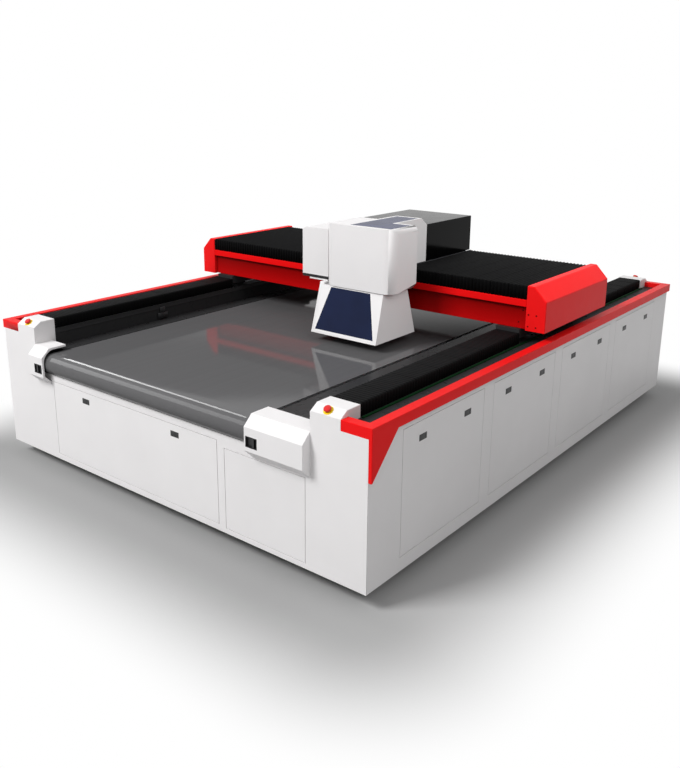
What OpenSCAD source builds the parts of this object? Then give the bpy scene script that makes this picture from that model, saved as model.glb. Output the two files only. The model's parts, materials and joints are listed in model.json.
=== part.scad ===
/* [Cabinet] */
// Width of the cabinet across the belt
cabinet_width = 3000; // [2800:10:3300]
// Depth of the cabinet along the belt
cabinet_depth = 4000; // [3900:10:4400]
// Height from the cabinet's lower edge to the top of the trim rail
cabinet_height = 850; // [830:1:900]
// Gap between the floor and the cabinet
floor_gap = 90; // [60:1:120]
// Thickness of the sheet panels
sheet = 3; // [2:0.5:4]
// Depth of a door tray from its face to its back edge
tray_depth = 18; // [14:1:24]
// Open seam around each door
door_seam = 3; // [2.5:0.5:6]
// Width of the lip that a door rests against
lip_width = 18; // [12:1:22]
// Width of the frame tubes
tube = 80; // [60:1:90]
// Width of the control cabinet behind the narrow door
control_width = 390; // [360:1:420]
// Depth of the control cabinet
control_depth = 300; // [260:1:320]
// Height of the control cabinet
control_height = 380; // [340:1:400]

/* [Doors] */
// Width of a side door
side_door_width = 777; // [700:1:800]
// Distance between two side doors, centre to centre
side_door_pitch = 888; // [860:1:920]
// Gap between the cabinet's lower edge and a side door
side_door_low = 80; // [60:1:110]
// Gap between the trim rail and a side door
side_door_top_gap = 40; // [30:1:70]
// Width of the wide front door
wide_door_width = 1485; // [1300:5:1500]
// Width of the narrow front door
narrow_door_width = 558; // [500:1:570]
// Space between the two front doors
front_door_space = 58; // [50:1:80]
// Space between the right tower and the narrow front door
front_door_inset = 33; // [30:1:50]
// Gap between the cabinet's lower edge and a front door
front_door_low = 40; // [30:1:60]
// Gap between the apron's edge and the wide front door
wide_door_top_gap = 46; // [36:1:60]
// Gap between the roller cover and the narrow front door
narrow_door_top_gap = 12; // [10:1:30]
// Width of a latch
latch_width = 68; // [60:1:76]
// Height of a latch
latch_height = 34; // [28:1:40]
// How far a latch stands out of its door
latch_proud = 2; // [1:0.5:4]
// Place of a side latch from the door's centre
side_latch_offset = 216; // [180:1:260]
// Drop of a side latch below the door's top edge
side_latch_drop = 87; // [70:1:110]
// Drop of a front latch below the door's top edge
front_latch_drop = 55; // [45:1:80]

/* [Trim rail] */
// Height of the red trim rail
rail_height = 55; // [45:1:60]
// Width of the trim rail, seen from above
rail_width = 59; // [52:1:66]
// How far the rail stands out past the side panels
rail_overhang = 20; // [14:1:24]
// Drop of the corner gusset below the rail
gusset_drop = 215; // [180:1:240]
// Length of the corner gusset along the rail
gusset_run = 208; // [180:1:240]
// Width of the gusset's lower tip
gusset_tip = 9; // [6:1:14]

/* [Corner towers] */
// Width of a tower
tower_width = 184; // [176:1:196]
// Depth of a tower
tower_depth = 154; // [140:1:170]
// Rise of a tower above the trim rail
tower_rise = 32; // [26:1:36]
// Height of a tower's shell
tower_height = 162; // [150:1:170]
// Length of the tower's sloped front, seen from above
slope_run = 51; // [45:1:60]
// Distance from the cabinet's side to the middle of a tower
guide_offset = 254; // [248:1:262]
// Radius of the yellow ring
ring_radius = 26; // [22:0.5:27]
// Thickness of the yellow ring
ring_thickness = 3; // [2:0.5:4]
// Radius of the stop button's head
button_radius = 19.5; // [17:0.5:20]
// Radius of the stop button's stem
button_stem = 11; // [9:0.5:12]
// Travel of the stop button
button_travel = 5; // [4:0.5:6]
// Clearance around the stop button's stem
button_clearance = 0.3; // [0.3:0.05:0.5]

/* [Conveyor] */
// Drop from the top of the trim rail to the top of the belt
belt_drop = 145; // [140:1:160]
// Thickness of the belt
belt_thickness = 3; // [2:0.5:4]
// Gap between the belt and what it runs on
belt_gap = 0.3; // [0.3:0.05:0.5]
// Gap between the belt's edge and the side ledge
belt_side_gap = 20; // [14:1:24]
// Radius of an end roller
roller_radius = 65; // [60:1:70]
// Distance of a roller's axis behind the cabinet's face
roller_setback = 31; // [29:1:36]
// Radius of a roller's journal
journal_radius = 20; // [16:1:24]
// Running clearance between a journal and its bearing
journal_clearance = 0.05; // [0.03:0.01:0.09]
// Gap between the belt and the cabinet's edge below it
apron_gap = 3; // [3:0.5:8]
// Thickness of the table under the belt
table_thickness = 22; // [18:1:25]

/* [Roller covers] */
// Length of the wide covers on the right
wide_cover_length = 386; // [380:1:400]
// Length of the narrow covers on the left
narrow_cover_length = 151; // [144:1:160]
// How far a cover stands out of the cabinet's face
cover_proud = 57; // [54:1:66]
// Sheet thickness of a cover
cover_sheet = 4; // [3:0.5:5]
// Width of the edge at a cover's open end
cover_edge = 13; // [10:1:14]
// Height of a cover's top above the roller's axis
cover_top_rise = 107; // [104:1:112]
// Height of the upper bend above the roller's axis
cover_bend_rise = 53; // [48:1:58]
// Drop of the lower bend below the roller's axis
cover_bend_drop = 77; // [74:1:84]
// Drop of a cover's lower edge below the roller's axis
cover_foot_drop = 131; // [128:1:140]
// Depth of a cover's top plate behind the cabinet's face
cover_top_depth = 123; // [110:1:124]
// Width of a handle cup
cup_width = 80; // [70:1:84]
// Height of a handle cup
cup_height = 60; // [50:1:64]
// Depth of a handle cup
cup_depth = 16; // [13:1:18]

/* [Side deck] */
// Width of the ledge between the belt and the left wall
left_ledge_width = 124; // [120:1:130]
// Width of the ledge between the belt and the right wall
right_ledge_width = 380; // [370:1:390]
// Drop of the ledges below the top of the belt
ledge_drop = 3; // [2:0.5:6]
// Drop of the bead along the side walls below the trim rail
bead_drop = 60; // [56:1:66]
// Height of the bead
bead_height = 8; // [6:0.5:10]
// How far the bead stands out of the wall
bead_reach = 5; // [3:0.5:8]
// Drop of the guide trough below the trim rail
trough_drop = 35; // [33:1:38]
// Gap between the cabinet's face and the ledge
ledge_setback = 125; // [125:1:140]
// Distance from the cabinet's face to the edge sensor
sensor_place = 1042; // [1020:1:1060]
// Length of the edge sensor
sensor_length = 88; // [80:1:96]
// Height of the edge sensor
sensor_height = 42; // [38:1:46]
// Drop from the ledge to the edge sensor's top
sensor_drop = 94; // [90:1:98]
// How far the edge sensor stands out of the wall
sensor_proud = 16; // [14:1:18]
// Width of the long guide rails
guide_width = 24; // [20:1:30]
// Height of the long guide rails
guide_height = 18; // [15:1:20]

/* [Long bellows] */
// Width of the bellows over a long guide
y_bellows_width = 171; // [168:1:174]
// Rise of the long bellows above the trim rail
y_bellows_rise = 34; // [30:1:40]
// Length of one pleat
pleat_pitch = 25; // [20:1:32]
// Depth of a pleat on the long bellows
y_pleat_depth = 4; // [3:0.5:5]
// Depth of a pleat on the cross bellows
x_pleat_depth = 6; // [4:0.5:8]
// Thickness of the bellows' skin
bellows_skin = 3; // [2:0.5:4]

/* [Gantry] */
// Size of a drive motor's square flange
motor_flange = 100; // [90:1:105]
// Radius of a drive motor
motor_radius = 44; // [40:1:46]
// Distance from the cabinet's face to the parked gantry
gantry_park = 1781; // [1700:1:1850]
// Length of the gantry along the belt
gantry_depth = 944; // [930:1:970]
// Gap between the trim rail and the gantry
gantry_gap = 55; // [52:1:62]
// Height of the lower beam
beam_height = 145; // [140:1:150]
// Setback of the lower beam behind the shelf
beam_setback = 25; // [18:1:30]
// Height of the red shelf
shelf_height = 45; // [42:1:50]
// Depth of the shelf and the cross bellows
shelf_depth = 891; // [885:1:905]
// Wall of the hollow beam
beam_wall = 10; // [8:1:12]
// Height of the cross bellows
x_bellows_height = 88; // [84:1:90]
// Width of an end cap
cap_width = 130; // [126:1:140]
// Gap between an end cap and the cabinet's side line
cap_inset = 9; // [5:1:14]
// Width of an end cap's sloped side
cap_slope_width = 83; // [70:1:88]
// Height of an end cap's sloped side
cap_slope_height = 88; // [78:1:96]
// Wall of an end cap
cap_wall = 4; // [3:0.5:5]
// Clearance between a slider and its guide rail
slider_clearance = 0.5; // [0.4:0.1:0.8]

/* [Head] */
// Place of the parked head from the middle of the gantry
head_park = 164; // [120:1:200]
// Width of the main cover
main_width = 593; // [585:1:610]
// Reach of the main cover in front of the gantry
main_reach = 341; // [335:1:350]
// Depth of the main cover behind the gantry's front
main_depth = 271; // [265:1:285]
// Height of the main cover's top above the shelf
main_top = 345; // [340:1:352]
// Height of the main cover's front edge above the shelf
main_low = 27; // [25:1:28]
// Height of the main cover above the shelf over the beam
main_back_low = 92; // [91:1:100]
// Wall of the head's covers
cover_wall = 4; // [3:0.5:5]
// Width of the front cover
front_width = 540; // [534:1:546]
// Place of the front cover's left side from the head's middle
front_left = -74; // [-80:1:-68]
// Reach of the front cover in front of the gantry
front_reach = 386; // [380:1:395]
// Depth of the front cover
front_depth = 285; // [280:1:290]
// Drop of the front cover below the shelf
front_drop = 16; // [14:1:17]
// Height of the roof above the shelf
roof_height = 393; // [388:1:400]
// Radius of the front cover's upright corners
front_corner = 79; // [70:1:85]
// Radius of the front cover's corners, seen from the front
face_corner = 35; // [30:1:38]
// Radius of the front cover's lower back edge
back_corner = 50; // [40:1:52]
// Width of the raised spine
spine_width = 208; // [205:1:215]
// Depth of the spine's flat roof behind the gantry's front
spine_depth = 204; // [198:1:210]
// Thickness of the tinted roof panel
roof_panel = 3; // [2:0.5:3.5]
// Height of the black strip under the main cover
strip_height = 18; // [15:1:19]
// Length of the laser housing
laser_length = 598; // [580:1:610]
// Width of the laser housing
laser_width = 545; // [530:1:560]

/* [Shroud] */
// Width of the flange beside the shroud
flange_width = 156; // [150:1:158]
// Gap between the belt and the shroud's lower edge
shroud_gap = 57; // [45:1:70]
// Place of the shroud's middle from the head's middle
shroud_shift = 145; // [142:1:150]
// Width of the shroud at its lower edge
shroud_width = 533; // [525:1:540]
// Inward lean of each side of the shroud
shroud_side_lean = 8; // [5:1:12]
// Reach of the shroud's lower edge in front of the gantry
shroud_reach = 461; // [455:1:468]
// Gap between the shroud's lower edge and the gantry's front
shroud_back = 18; // [12:1:24]
// Lean of the shroud's front
shroud_front_lean = 87; // [82:1:92]
// Lean of the shroud's back
shroud_back_lean = 95; // [90:1:100]
// Wall of the shroud
shroud_wall = 4; // [3:0.5:5]
// Side margin of the window at its lower edge
window_margin = 28; // [22:1:34]
// Side margin of the window at its upper edge
window_top_margin = 107; // [98:1:114]
// Height of the window above the shroud's lower edge
window_low = 24; // [20:1:30]
// Drop of the window's upper edge below the shroud's top
window_drop = 24; // [24:1:34]

/* [Hidden] */
$fn = 64;

half_w = cabinet_width / 2;
half_d = cabinet_depth / 2;
front = -half_d;
rail_top = floor_gap + cabinet_height;
rail_low = rail_top - rail_height;
rail_out = half_w + rail_overhang;
rail_in = rail_out - rail_width;
guide_x = half_w - guide_offset;
tower_in = guide_x - tower_width / 2;
tower_out = guide_x + tower_width / 2;
tower_top = rail_top + tower_rise;
slope_low = rail_top - 1;
slope_rise = tower_top - slope_low;
slope_angle = atan2(slope_rise, slope_run);
tower_low = tower_top - tower_height;
bed_left = tower_in - left_ledge_width;
bed_right = tower_in - right_ledge_width;
belt_left = bed_left - belt_side_gap;
belt_right = bed_right - belt_side_gap;
belt_top = rail_top - belt_drop;
belt_inner = roller_radius + belt_gap;
belt_outer = belt_inner + belt_thickness;
roller_z = belt_top - belt_outer;
roller_y = half_d - roller_setback;
apron_top = roller_z - sqrt(belt_outer * belt_outer - roller_setback * roller_setback) - apron_gap;
frame_out = tray_depth + sheet;
frame_low = floor_gap + sheet;
frame_x = half_w - frame_out;
frame_y = half_d - frame_out;
tube_top = frame_low + tube;
cross_y = [-0.425 * cabinet_depth, -0.2125 * cabinet_depth, 0, 0.2125 * cabinet_depth, 0.425 * cabinet_depth];
table_top = belt_top - belt_thickness - belt_gap;
table_low = table_top - table_thickness;
beam_top_tube = table_low;
beam_low_tube = table_low - tube;
trough = rail_top - trough_drop;
ledge_top = belt_top - ledge_drop;
tower_back = half_d - tower_depth;
left_bearing = bed_left + 8;
right_bearing = bed_right + 8;
bearing_width = 40;
bearing_half = 45;
motor_in = right_bearing + bearing_width + 10;
motor_out = motor_in + 60;
left_journal = left_bearing + bearing_width + 4;
right_journal = motor_out + 4;
cover_in = tower_in - narrow_cover_length;
wide_in = tower_in - wide_cover_length;
cover_slope = (cover_top_rise - cover_bend_rise) / cover_proud;
foot_slope = (cover_foot_drop - cover_bend_drop) / cover_proud;
cup_wall = 4;
cup_inset = 9;
cup_z = roller_z - 24;
side_doors = [for (i = [-1.5 : 1 : 1.5]) [i * side_door_pitch - side_door_width / 2,
  i * side_door_pitch + side_door_width / 2, floor_gap + side_door_low, rail_low - side_door_top_gap]];
narrow_right = tower_in - front_door_inset;
narrow_left = narrow_right - narrow_door_width;
wide_right = narrow_left - front_door_space;
front_doors_at = [[wide_right - wide_door_width, wide_right, floor_gap + front_door_low,
  apron_top - wide_door_top_gap],
  [narrow_left, narrow_right, floor_gap + front_door_low - 8,
  roller_z - cover_foot_drop - narrow_door_top_gap]];
wide_latches = [for (s = [0.225, 0.775]) [wide_right - wide_door_width * (1 - s),
  apron_top - wide_door_top_gap - front_latch_drop]];
side_latches = [for (d = side_doors, s = [-1, 1]) [(d[0] + d[1]) / 2 + s * side_latch_offset,
  d[3] - side_latch_drop]];
latch_fit = 0.5;

gantry_front = front + gantry_park;
gantry_back = gantry_front + gantry_depth;
beam_low = rail_top + gantry_gap;
shelf_low = beam_low + beam_height;
shelf_top = shelf_low + shelf_height;
gantry_top = shelf_top + x_bellows_height;
shelf_back = gantry_front + shelf_depth;
cap_out = half_w - cap_inset;
cap_in = cap_out - cap_width;
slider_drop = 4;
slider_top = 12;
truck_low = trough + guide_height + slider_top;
cross_guide_y = [gantry_front + 120, shelf_back - 120];

plate_low = guide_height + slider_top;
plate_top = plate_low + 20;
main_left = -main_width / 2;
main_right = main_width / 2;
front_right = front_left + front_width;
front_back = front_depth - front_reach;
spine_left = main_right - spine_width;
shroud_low = belt_top + shroud_gap - shelf_top;
shroud_top = -3;
shroud_shelf = -front_drop - 4;
shroud_h = shroud_top - shroud_low;
lens_x = shroud_shift;
lens_y = front_back - front_depth / 2;
mirror_clearance = 0.05;
mirror_stem = 5;

module block(x0, x1, y0, y1, z0, z1) {
  translate([x0, y0, z0]) cube([x1 - x0, y1 - y0, z1 - z0]);
}

module along_x(x0, x1) {
  translate([x0, 0, 0]) rotate([90, 0, 90]) linear_extrude(x1 - x0) children();
}

module along_y(y0, y1) {
  translate([0, y1, 0]) rotate([90, 0, 0]) linear_extrude(y1 - y0) children();
}

module up_z(z0, z1) {
  translate([0, 0, z0]) linear_extrude(z1 - z0) children();
}

module both_sides() {
  children();
  mirror([1, 0, 0]) children();
}

module both_ends() {
  children();
  mirror([0, 1, 0]) children();
}

module area(r, grow) {
  translate([r[0] - grow, r[2] - grow]) square([r[1] - r[0] + 2 * grow, r[3] - r[2] + 2 * grow]);
}

module frame_sleeve(r) {
  difference() {
    area(r, door_seam + sheet);
    area(r, door_seam);
  }
}

module frame_lip(r) {
  difference() {
    area(r, door_seam + sheet);
    area(r, -lip_width);
  }
}

module latch_hole(p) {
  translate([p[0] - latch_width / 2 + 5, p[1] - latch_height / 2 + 4])
    square([latch_width - 10, latch_height - 8]);
}

module tray_face(r, latches) {
  difference() {
    area(r, 0);
    for (p = latches) latch_hole(p);
  }
}

module tray_rim(r) {
  difference() {
    area(r, 0);
    area(r, -sheet);
  }
}

module bearing_post(x0) {
  block(x0, x0 + motor_out - right_bearing, -frame_y, -frame_y + 50, frame_low, roller_z - bearing_half);
}

module base_frame() {
  color("dimgray") {
    both_sides() {
      block(frame_x - tube, frame_x, -frame_y, frame_y, frame_low, tube_top);
      for (i = [-2 : 2]) {
        py = i == -2 ? -frame_y : i == 2 ? frame_y - tube : i * side_door_pitch - tube / 2;
        block(frame_x - tube, frame_x, py, py + tube, frame_low, rail_low - sheet);
      }
      block(frame_x - tube, frame_x, -frame_y, frame_y, rail_low - sheet - 60, rail_low - sheet);
      block(guide_x - 80, guide_x + 80, -tower_back + 6, tower_back - 6, beam_low_tube, trough - sheet);
      for (y = cross_y)
        block(guide_x - 40, guide_x + 40, y - 40, y + 40, frame_low, beam_low_tube + 1);
    }
    both_ends() {
      block(-frame_x, frame_x, -frame_y, -frame_y + tube, frame_low, tube_top);
      bearing_post(right_bearing);
      mirror([1, 0, 0]) bearing_post(left_bearing);
    }
    for (y = cross_y) {
      block(-frame_x, frame_x, y - 40, y + 40, frame_low, tube_top);
      block(-guide_x, guide_x, y - 40, y + 40, beam_low_tube, beam_top_tube);
    }
  }
}

module levelling_feet() {
  color("black")
    both_sides() for (y = cross_y) translate([guide_x, y, 0]) {
      cylinder(h = 18, r = 50);
      cylinder(h = frame_low, r = 15);
    }
}

module end_panel_area() {
  polygon([[-half_w, floor_gap], [half_w, floor_gap], [half_w, rail_low], [tower_out, rail_low],
    [tower_out, slope_low], [tower_in, slope_low], [tower_in, apron_top], [-tower_in, apron_top],
    [-tower_in, slope_low], [-tower_out, slope_low], [-tower_out, rail_low], [-half_w, rail_low]]);
}

module end_panel_foot() {
  block(-frame_x + tube + 10, frame_x - tube - 10, front + sheet, front + frame_out + tube,
    floor_gap, frame_low);
}

module front_panel() {
  color("whitesmoke") {
    along_y(front, front + sheet) difference() {
      end_panel_area();
      for (r = front_doors_at) area(r, door_seam);
    }
    for (r = front_doors_at) {
      along_y(front + sheet, front + frame_out) frame_sleeve(r);
      along_y(front + tray_depth, front + frame_out) frame_lip(r);
    }
    end_panel_foot();
  }
}

module rear_panel() {
  color("whitesmoke") mirror([0, 1, 0]) {
    along_y(front, front + sheet) end_panel_area();
    end_panel_foot();
  }
}

module side_panel() {
  along_x(half_w - sheet, half_w) difference() {
    area([front + sheet, half_d - sheet, floor_gap, rail_top - sheet], 0);
    for (r = side_doors) area(r, door_seam);
  }
  for (r = side_doors) {
    along_x(half_w - frame_out, half_w - sheet) frame_sleeve(r);
    along_x(half_w - frame_out, half_w - tray_depth) frame_lip(r);
  }
  block(frame_x - tube, half_w, front + sheet, half_d - sheet, floor_gap, frame_low);
}

module right_panel() {
  color("whitesmoke") side_panel();
}

module left_panel() {
  color("whitesmoke") mirror([1, 0, 0]) side_panel();
}

module front_doors() {
  color("whitesmoke") for (r = front_doors_at) {
    along_y(front, front + sheet) tray_face(r, wide_latches);
    along_y(front + sheet, front + tray_depth) tray_rim(r);
  }
}

module side_door_set() {
  for (r = side_doors) {
    along_x(half_w - sheet, half_w) tray_face(r, side_latches);
    along_x(half_w - tray_depth, half_w - sheet) tray_rim(r);
  }
}

module right_doors() {
  color("whitesmoke") side_door_set();
}

module left_doors() {
  color("whitesmoke") mirror([1, 0, 0]) side_door_set();
}

module latch() {
  block(-latch_width / 2, latch_width / 2, -latch_height / 2, latch_height / 2, 0, latch_proud);
  block(-latch_width / 2 + 5 + latch_fit, latch_width / 2 - 5 - latch_fit, -latch_height / 2 + 4 + latch_fit,
    latch_height / 2 - 4 - latch_fit, -tray_depth, 1);
}

module door_latches() {
  color("black") {
    for (p = wide_latches) translate([p[0], front, p[1]]) rotate([90, 0, 0]) latch();
    both_sides() for (p = side_latches) translate([half_w, p[0], p[1]]) rotate([90, 0, 90]) latch();
  }
}

module on_slope() {
  translate([guide_x, front + slope_run / 2, (slope_low + tower_top) / 2]) rotate([slope_angle, 0, 0])
    children();
}

module tower() {
  slope = slope_rise / slope_run;
  skin = sheet / cos(slope_angle);
  difference() {
    along_x(tower_in, tower_out) polygon([[front + sheet, tower_low],
      [front + sheet, slope_low + sheet * slope], [front + slope_run, tower_top],
      [front + tower_depth, tower_top], [front + tower_depth, tower_low]]);
    along_x(tower_in + sheet, tower_out - sheet) polygon([[front + 2 * sheet, tower_low - 1],
      [front + 2 * sheet, slope_low + 2 * sheet * slope - skin],
      [front + (slope_rise - sheet + skin) / slope, tower_top - sheet],
      [front + tower_depth - sheet, tower_top - sheet], [front + tower_depth - sheet, tower_low - 1]]);
    on_slope() translate([0, 0, -20]) cylinder(h = 40, r = button_stem + button_clearance);
  }
}

module front_right_tower() {
  color("whitesmoke") tower();
}

module front_left_tower() {
  color("whitesmoke") mirror([1, 0, 0]) tower();
}

module rear_towers() {
  color("whitesmoke") mirror([0, 1, 0]) both_sides() tower();
}

module rail_area(d) {
  polygon([[tower_out + d, front + d], [rail_out - d, front + d], [rail_out - d, half_d - d],
    [tower_out + d, half_d - d], [tower_out + d, half_d - rail_width + d],
    [rail_in + d, half_d - rail_width + d],
    [rail_in + d, front + rail_width - d], [tower_out + d, front + rail_width - d]]);
}

module trim_rail() {
  up_z(rail_top - sheet, rail_top) rail_area(0);
  up_z(rail_low, rail_top - sheet) difference() {
    rail_area(0);
    rail_area(sheet);
  }
}

module right_trim_rail() {
  color("red") {
    trim_rail();
    along_x(half_w, rail_out) polygon([[front, rail_low], [front, rail_low - gusset_drop],
      [front + gusset_tip, rail_low - gusset_drop], [front + gusset_run, rail_low]]);
  }
}

module left_trim_rail() {
  color("red") mirror([1, 0, 0]) trim_rail();
}

module cover_band(w) {
  q = w * sqrt(1 + cover_slope * cover_slope);
  f = w * sqrt(1 + foot_slope * foot_slope);
  polygon([[front, roller_z - cover_foot_drop], [front - cover_proud, roller_z - cover_bend_drop],
    [front - cover_proud, roller_z + cover_bend_rise], [front, roller_z + cover_top_rise],
    [front + cover_top_depth, roller_z + cover_top_rise],
    [front + cover_top_depth, roller_z + cover_top_rise - w],
    [front - w / cover_slope + q / cover_slope, roller_z + cover_top_rise - w],
    [front - cover_proud + w, roller_z + cover_bend_rise + w * cover_slope - q],
    [front - cover_proud + w, roller_z - cover_bend_drop - w * foot_slope + f],
    [front, roller_z - cover_foot_drop + f]]);
}

module cup_area(x0) {
  translate([x0, cup_z - cup_height / 2]) square([cup_width, cup_height]);
}

module roller_cover(x0) {
  difference() {
    along_x(x0, tower_in) cover_band(cover_sheet);
    along_y(front - cover_proud - 1, front - 1) cup_area(x0 + cup_inset);
  }
  along_x(x0, x0 + cover_sheet) cover_band(cover_edge - 1);
  along_x(tower_in - cover_sheet, tower_in) polygon([[front, roller_z - cover_foot_drop],
    [front - cover_proud, roller_z - cover_bend_drop], [front - cover_proud, roller_z + cover_bend_rise],
    [front, roller_z + cover_top_rise]]);
}

module front_right_roller_cover() {
  color("whitesmoke") roller_cover(wide_in);
}

module front_left_roller_cover() {
  color("whitesmoke") mirror([1, 0, 0]) roller_cover(cover_in);
}

module plain_cover(x0) {
  along_x(x0, tower_in) cover_band(cover_sheet);
  along_x(x0, x0 + cover_sheet) cover_band(cover_edge - 1);
  along_x(tower_in - cover_sheet, tower_in) polygon([[front, roller_z - cover_foot_drop],
    [front - cover_proud, roller_z - cover_bend_drop], [front - cover_proud, roller_z + cover_bend_rise],
    [front, roller_z + cover_top_rise]]);
}

module rear_roller_covers() {
  color("whitesmoke") mirror([0, 1, 0]) {
    plain_cover(wide_in);
    mirror([1, 0, 0]) plain_cover(cover_in);
  }
}

module handle_cup(x0) {
  y0 = front - cover_proud;
  difference() {
    along_y(y0, y0 + cup_depth) cup_area(x0);
    block(x0 + cup_wall, x0 + cup_width - cup_wall, y0 - 1, y0 + cup_depth - cup_wall,
      cup_z - cup_height / 2 + cup_wall, cup_z + cup_height / 2 - cup_wall);
  }
  block(x0 + cup_width * 0.55, x0 + cup_width * 0.72, y0 + 2, y0 + 8, cup_z - cup_height / 2 + cup_wall - 1,
    cup_z + cup_height / 2 - cup_wall + 1);
}

module cover_handles() {
  color("black") {
    handle_cup(wide_in + cup_inset);
    mirror([1, 0, 0]) handle_cup(cover_in + cup_inset);
  }
}

module belt_loop(r) {
  translate([-roller_y, roller_z]) circle(r);
  translate([roller_y, roller_z]) circle(r);
  translate([-roller_y, roller_z - r]) square([2 * roller_y, 2 * r]);
}

module conveyor_belt() {
  color("gray") along_x(-belt_left, belt_right) difference() {
    belt_loop(belt_outer);
    belt_loop(belt_inner);
  }
}

module vacuum_table() {
  color("gray") block(-belt_left, belt_right, -roller_y + roller_radius + 40,
    roller_y - roller_radius - 40, table_low, table_top);
}

module roller() {
  translate([-belt_left - 2, -roller_y, roller_z]) rotate([0, 90, 0])
    cylinder(h = belt_left + belt_right + 4, r = roller_radius);
  translate([-left_journal, -roller_y, roller_z]) rotate([0, 90, 0])
    cylinder(h = left_journal + right_journal, r = journal_radius);
}

module front_roller() {
  color("silver") roller();
}

module rear_roller() {
  color("silver") mirror([0, 1, 0]) roller();
}

module bearing(x0) {
  difference() {
    block(x0, x0 + bearing_width, -roller_y - 40, -roller_y + 40, roller_z - bearing_half,
      roller_z + bearing_half);
    translate([x0 - 1, -roller_y, roller_z]) rotate([0, 90, 0])
      cylinder(h = bearing_width + 2, r = journal_radius + journal_clearance);
  }
}

module roller_bearings() {
  color("dimgray") both_ends() {
    bearing(right_bearing);
    mirror([1, 0, 0]) bearing(left_bearing);
  }
}

module conveyor_motor() {
  color("dimgray") difference() {
    union() {
      block(motor_in, motor_out, -roller_y - 40, -roller_y + bearing_half, roller_z - bearing_half,
        roller_z + bearing_half);
      translate([(motor_in + motor_out) / 2, -roller_y + bearing_half - 1, roller_z]) rotate([-90, 0, 0])
        cylinder(h = 130, r = 42);
    }
    translate([motor_in - 1, -roller_y, roller_z]) rotate([0, 90, 0])
      cylinder(h = motor_out - motor_in + 2, r = journal_radius + journal_clearance);
  }
}

module side_deck(x0) {
  y0 = half_d - ledge_setback;
  block(x0, tower_in, -y0, y0, ledge_top - sheet, ledge_top);
  block(x0, x0 + sheet, -y0, y0, table_low, ledge_top);
  block(tower_in - 1, tower_in + sheet, -tower_back, tower_back, ledge_top - sheet, trough);
  block(tower_in - bead_reach, tower_in, -tower_back, tower_back, rail_top - bead_drop - bead_height,
    rail_top - bead_drop);
  block(tower_in, rail_in, -tower_back, tower_back, trough - sheet, trough);
  both_ends() block(tower_out, rail_in, front + rail_width, -tower_back + 1, trough - sheet, trough);
}

module right_deck() {
  color("darkslategray") side_deck(bed_right);
}

module left_deck() {
  color("darkslategray") mirror([1, 0, 0]) side_deck(bed_left);
}

module long_guides() {
  color("silver") both_sides() block(guide_x - guide_width / 2, guide_x + guide_width / 2, -tower_back,
    tower_back, trough, trough + guide_height);
}

module drive_strips() {
  color("green") both_sides()
    block(tower_out + 6, tower_out + 18, -tower_back, tower_back, trough, trough + 6);
}

module stop_ring() {
  on_slope() difference() {
    cylinder(h = ring_thickness, r = ring_radius);
    translate([0, 0, -1]) cylinder(h = ring_thickness + 2, r = button_stem + button_clearance);
  }
}

module stop_rings() {
  color("yellow") both_ends() both_sides() stop_ring();
}

module stop_button() {
  low = ring_thickness + button_travel + 2;
  on_slope() {
    translate([0, 0, -14]) cylinder(h = 14 + low + 1, r = button_stem);
    translate([0, 0, low]) cylinder(h = 7, r = button_radius);
    translate([0, 0, low + 7]) cylinder(h = 5, r1 = button_radius, r2 = button_radius - 4);
  }
}

module stop_button_front_right() {
  color("red") stop_button();
}

module stop_button_front_left() {
  color("red") mirror([1, 0, 0]) stop_button();
}

module stop_button_rear_right() {
  color("red") mirror([0, 1, 0]) stop_button();
}

module stop_button_rear_left() {
  color("red") mirror([1, 0, 0]) mirror([0, 1, 0]) stop_button();
}

module edge_sensor() {
  color("black") {
    translate([1 - tower_in, front + sensor_place, rail_top - sensor_drop]) {
      block(0, sensor_proud, -sensor_length / 2, sensor_length / 2, -sensor_height, 0);
      block(bead_reach - 1, sensor_proud, -sensor_length / 4, sensor_length / 4, -1,
        sensor_drop - bead_drop + 6);
    }
  }
}

module control_cabinet() {
  x0 = narrow_left + (narrow_door_width - control_width) / 2;
  color("lightgray") block(x0, x0 + control_width, cross_y[0] - control_depth / 2,
    cross_y[0] + control_depth / 2, tube_top, tube_top + control_height);
}

function zigzag(l, n, low, high) =
  [for (i = [0 : 2 * n]) [i * l / (2 * n), i % 2 == 0 ? low : high]];
function zigzag_back(l, n, low, high) =
  [for (i = [2 * n : -1 : 0]) [i * l / (2 * n), i % 2 == 0 ? low : high]];

module pleats(l, w, h, fold) {
  n = round(l / pleat_pitch);
  difference() {
    intersection() {
      along_y(-w / 2, w / 2) polygon(concat([[0, 0]], zigzag(l, n, h - fold, h), [[l, 0]]));
      up_z(0, h) polygon(concat(zigzag(l, n, -w / 2 + fold, -w / 2), zigzag_back(l, n, w / 2 - fold, w / 2)));
    }
    block(-1, l + 1, -w / 2 + fold + bellows_skin, w / 2 - fold - bellows_skin, -1, h - fold - bellows_skin);
  }
}

module long_bellows(y0, y1) {
  z0 = trough + 1;
  translate([guide_x, y0, z0]) rotate([0, 0, 90])
    pleats(y1 - y0, y_bellows_width, rail_top + y_bellows_rise - z0, y_pleat_depth);
}

module y_bellows_front_right() {
  color("black") long_bellows(-tower_back, gantry_front);
}

module y_bellows_front_left() {
  color("black") mirror([1, 0, 0]) long_bellows(-tower_back, gantry_front);
}

module y_bellows_rear_right() {
  color("black") long_bellows(gantry_back, tower_back);
}

module y_bellows_rear_left() {
  color("black") mirror([1, 0, 0]) long_bellows(gantry_back, tower_back);
}

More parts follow.
